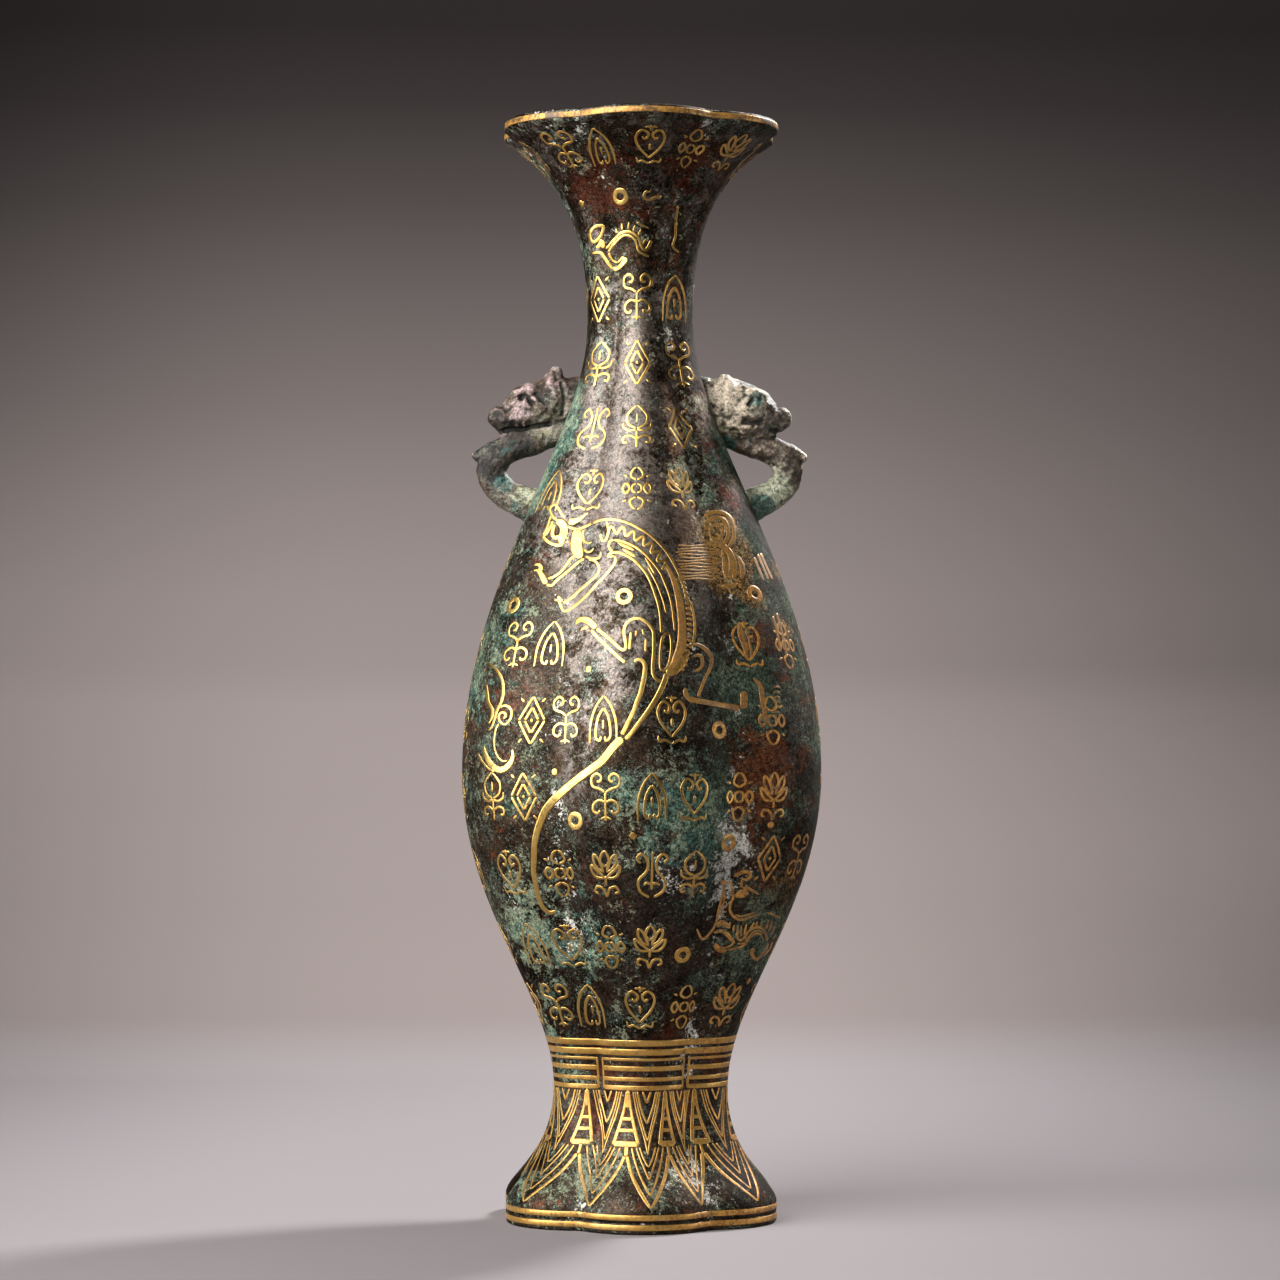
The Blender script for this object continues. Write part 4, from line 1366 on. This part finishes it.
def distance_to_line(spots, points):
    """Least distance from flat spots to a line of straight pieces."""
    least = np.full(len(spots), 1e9)
    for start, end in zip(np.array(points[:-1], float), np.array(points[1:], float)):
        way = end - start
        share = np.clip(((spots - start) @ way) / (way @ way), 0, 1)
        least = np.minimum(least, np.linalg.norm(spots - start - share[:, None] * way, axis=1))
    return least


def lumps(spots, wavelengths, seed):
    """Sum of sine waves in random directions, about -1 to 1: the roughness of corroded metal."""
    chance = np.random.default_rng(seed)
    total = np.zeros(len(spots))
    for wavelength in wavelengths:
        heading = chance.normal(size=3)
        heading *= 2 * math.pi / wavelength / np.linalg.norm(heading)
        total += np.sin(spots @ heading + chance.uniform(0, 2 * math.pi))
    return total / math.sqrt(len(wavelengths))


def relief_over(spots, normals, quads):
    """Height over the same surface when each point is drawn thirty times half way towards the mean
    of its neighbours: high spots are positive, hollows negative."""
    pairs = np.vstack([quads[:, [0, 1]], quads[:, [1, 2]], quads[:, [2, 3]], quads[:, [3, 0]]])
    near, far = pairs.T
    valence = np.bincount(near, minlength=len(spots))[:, None]
    smooth = spots
    for _ in range(30):
        total = [np.bincount(near, weights=smooth[far, axis], minlength=len(spots)) for axis in range(3)]
        smooth = (smooth + np.stack(total, axis=-1) / valence) / 2
    relief = np.sum((spots - smooth) * normals, axis=1)
    return relief - np.median(relief)


def beast_handle(name, masses, cuts, mirror, sharpness, seed):
    """Presses the strokes into the fused masses on both flanks, as deep as the sharpness of the
    cast says, then adds the corrosion."""
    spots, normals, quads = fused_masses(masses)
    flank = np.abs(normals[:, 1]) ** 0.5
    rise = np.zeros(len(spots))
    for points, width, amount in HEAD_STROKES + cuts:
        rise += sharpness * amount * flank * np.exp(-(distance_to_line(spots[:, [0, 2]], points) / width) ** 2)
    rough = 0.13 * lumps(spots, np.linspace(2.2, 6.5, 16), seed)
    rough += 0.06 * lumps(spots, np.linspace(1.0, 2.0, 16), seed + 1)
    spots = spots + normals * (rise + rough)[:, None]
    spots[:, 1] = np.clip(spots[:, 1], -6.45, 6.45)
    relief = relief_over(spots, normals, quads)
    if mirror:
        spots = spots * (-1, 1, 1)
        quads = quads[:, ::-1]
    piece = make_piece(name, spots, quads, HANDLE_BRONZE)
    stored = piece.data.attributes.new("relief", "FLOAT", "POINT")
    stored.data.foreach_set("value", relief.astype(np.float32))
    print(name, "triangles:", 2 * len(quads), "relief in mm:", np.percentile(relief, [2, 50, 98]).round(2))
    return piece


right_masses = dict(HEAD_MASSES, crest=LOW_CREST, brow=ROUND_BROW, mouth_web=FULL_CHEEK)
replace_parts(beast_handle("right_beast", right_masses, RIGHT_CUTS, False, 0.55, 7), "right_handle")
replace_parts(beast_handle("left_beast", HEAD_MASSES, LEFT_CUTS, True, 0.85, 8), "left_handle")


# %% [markdown]
# The camera stands a little to the left of the front lobe, at half the height of the vase, and
# looks slightly up. A long lens from 1.3 m gives the flat perspective of a catalogue picture.

# %% Camera
CAMERA_DISTANCE = 1.320
CAMERA_HEIGHT = 0.170
CAMERA_TURN = math.radians(-2.5)
LENS = 101
PITCH = math.atan((0.211 - CAMERA_HEIGHT) / CAMERA_DISTANCE)

camera_data = bpy.data.cameras.new("camera")
camera_data.lens = LENS
camera_data.sensor_width = 36
camera = bpy.data.objects.new("camera", camera_data)
camera.location = (CAMERA_DISTANCE * math.sin(CAMERA_TURN), -CAMERA_DISTANCE * math.cos(CAMERA_TURN),
                   CAMERA_HEIGHT)
camera.rotation_euler = (math.pi / 2 + PITCH, 0, CAMERA_TURN)
bpy.context.scene.collection.objects.link(camera)
bpy.context.scene.camera = camera


# %% [markdown]
# The floor runs up into a backdrop in one sweep half a metre behind the vase. Its colour is pale
# on the floor and falls to dark grey at the top of the wall, and darkens a little to both sides.

# %% Floor and backdrop
SWEEP_START = 0.55
SWEEP_RADIUS = 0.22
SWEEP_TONES = [(0.0, 0.188), (0.04, 0.150), (0.135, 0.155), (0.23, 0.172), (0.32, 0.200), (0.42, 0.184),
               (0.51, 0.152), (0.60, 0.113), (0.70, 0.078), (0.79, 0.046), (0.885, 0.024),
               (0.96, 0.0150)]
SWEEP_TOP = 0.62
# Green and blue as shares of red.
FLOOR_WARMTH = (0.905, 0.925)
WALL_WARMTH = (0.85, 0.82)


def sweep_stage():
    """A profile of floor, quarter round and wall, carried sideways."""
    angle = np.linspace(-math.pi / 2, 0, 24)
    curve = np.stack([SWEEP_START + SWEEP_RADIUS * np.cos(angle),
                      SWEEP_RADIUS + SWEEP_RADIUS * np.sin(angle)], axis=-1)
    wall_depth = SWEEP_START + SWEEP_RADIUS
    profile = np.vstack([[(-3.0, 0.0)], curve, [(wall_depth, 0.8), (wall_depth, 2.4)]])
    sides = np.array([-3.0, 3.0])
    points = np.array([(side, depth, height) for depth, height in profile for side in sides])
    rows = np.arange(len(profile) - 1)[:, None] * 2
    faces = rows + np.array([[0, 1, 3, 2]])
    mesh = bpy.data.meshes.new("studio_sweep")
    mesh.from_pydata(points.tolist(), [], faces.tolist())
    mesh.polygons.foreach_set("use_smooth", np.full(len(faces), True))
    stage = bpy.data.objects.new("studio_sweep", mesh)
    bpy.context.scene.collection.objects.link(stage)
    return stage


def stage_finish():
    """Paper whose grey follows the height on the wall and the distance from the middle."""
    material, tree, shader, output, place = new_finish("studio_paper")
    axes = node(tree, "ShaderNodeSeparateXYZ", {"Vector": place})
    share = band(tree, axes.outputs["Z"], 0.0, SWEEP_TOP)
    share.node.interpolation_type = "LINEAR"
    ramp = node(tree, "ShaderNodeValToRGB", {"Fac": share})
    stops = ramp.color_ramp.elements
    while len(stops) < len(SWEEP_TONES):
        stops.new(0.5)
    for stop, (position, tone) in zip(stops, SWEEP_TONES):
        stop.position = position
        warmth = FLOOR_WARMTH if position < 0.03 else WALL_WARMTH
        stop.color = (tone, tone * warmth[0], tone * warmth[1], 1)
    across = axes.outputs["X"]
    high = axes.outputs["Z"]
    aside = maths(tree, "MULTIPLY", band(tree, across, 0.0, 0.55, 1.0, band(tree, high, 0.02, 0.14, 0.27, 0.40)),
                  band(tree, across, -0.48, -0.12, band(tree, high, 0.20, 0.50, 0.60, 0.38), 1.0))
    far = maths(tree, "MULTIPLY", band(tree, maths(tree, "ABSOLUTE", across), 0.50, 0.75, 1.0, 0.12),
                band(tree, axes.outputs["Y"], -0.50, -0.25, 0.12, 1.0))
    seen = node(tree, "ShaderNodeLightPath").outputs["Is Camera Ray"]
    aside = maths(tree, "MULTIPLY", aside, maths(tree, "MAXIMUM", far, seen))
    tree.links.new(scaled(tree, ramp.outputs["Color"], aside), shader.inputs["Base Color"])
    shader.inputs["Roughness"].default_value = 0.9
    shader.inputs["Specular IOR Level"].default_value = 0.0
    behind = node(tree, "ShaderNodeNewGeometry").outputs["Backfacing"]
    clear = node(tree, "ShaderNodeBsdfTransparent").outputs["BSDF"]
    one_sided = node(tree, "ShaderNodeMixShader", {0: behind, 1: shader.outputs["BSDF"], 2: clear})
    tree.links.new(one_sided.outputs["Shader"], output.inputs["Surface"])
    return material


stage = sweep_stage()
stage.data.materials.append(stage_finish())


# %% [markdown]
# One tall soft box at the left front draws the long highlight down neck and belly; a lamp above
# lights the flare of the foot; a lamp behind at the right edges the handle and casts the shadow
# towards the left. The right half of the vase stays dark, which lets the gold glow.

# %% Lights
def soft_lamp(name, turn_degrees, distance, height, width, tall, power, aim=0.2):
    """A rectangular lamp at a turn from the front, facing the vase."""
    lamp = bpy.data.lights.new(name, "AREA")
    lamp.shape = "RECTANGLE"
    lamp.size = width
    lamp.size_y = tall
    lamp.energy = power
    holder = bpy.data.objects.new(name, lamp)
    turn = math.radians(turn_degrees)
    holder.location = (distance * math.sin(turn), -distance * math.cos(turn), height)
    fall = math.atan2(height - aim, distance)
    holder.rotation_euler = (math.pi / 2 - fall, 0, turn)
    bpy.context.scene.collection.objects.link(holder)
    return holder


soft_lamp("key_softbox", -50, 1.05, 0.74, 1.20, 1.3, 49)
soft_lamp("side_softbox", 82, 1.3, 0.18, 0.2, 0.3, 4.5, 0.08)
soft_lamp("low_softbox", -72, 0.9, 0.18, 0.3, 0.3, 4.0, 0.08)
soft_lamp("rim_softbox", 133, 1.0, 1.05, 0.2, 0.3, 47)
soft_lamp("top_softbox", -10, 0.3, 1.35, 0.6, 0.5, 0.6)

world = bpy.data.worlds.new("studio")
bpy.context.scene.world = world
world.use_nodes = True
background = world.node_tree.nodes["Background"]
seen = node(world.node_tree, "ShaderNodeLightPath").outputs["Is Camera Ray"]
sky = blend(world.node_tree, seen, (0.031, 0.0265, 0.020, 1), (0.035, 0.033, 0.032, 1))
world.node_tree.links.new(sky, background.inputs["Color"])
background.inputs["Strength"].default_value = 1.0
bpy.context.scene.view_settings.view_transform = "Standard"

# %% Base plate from the frame
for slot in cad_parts["base_plate"].material_slots:
    slot.material = BRONZE
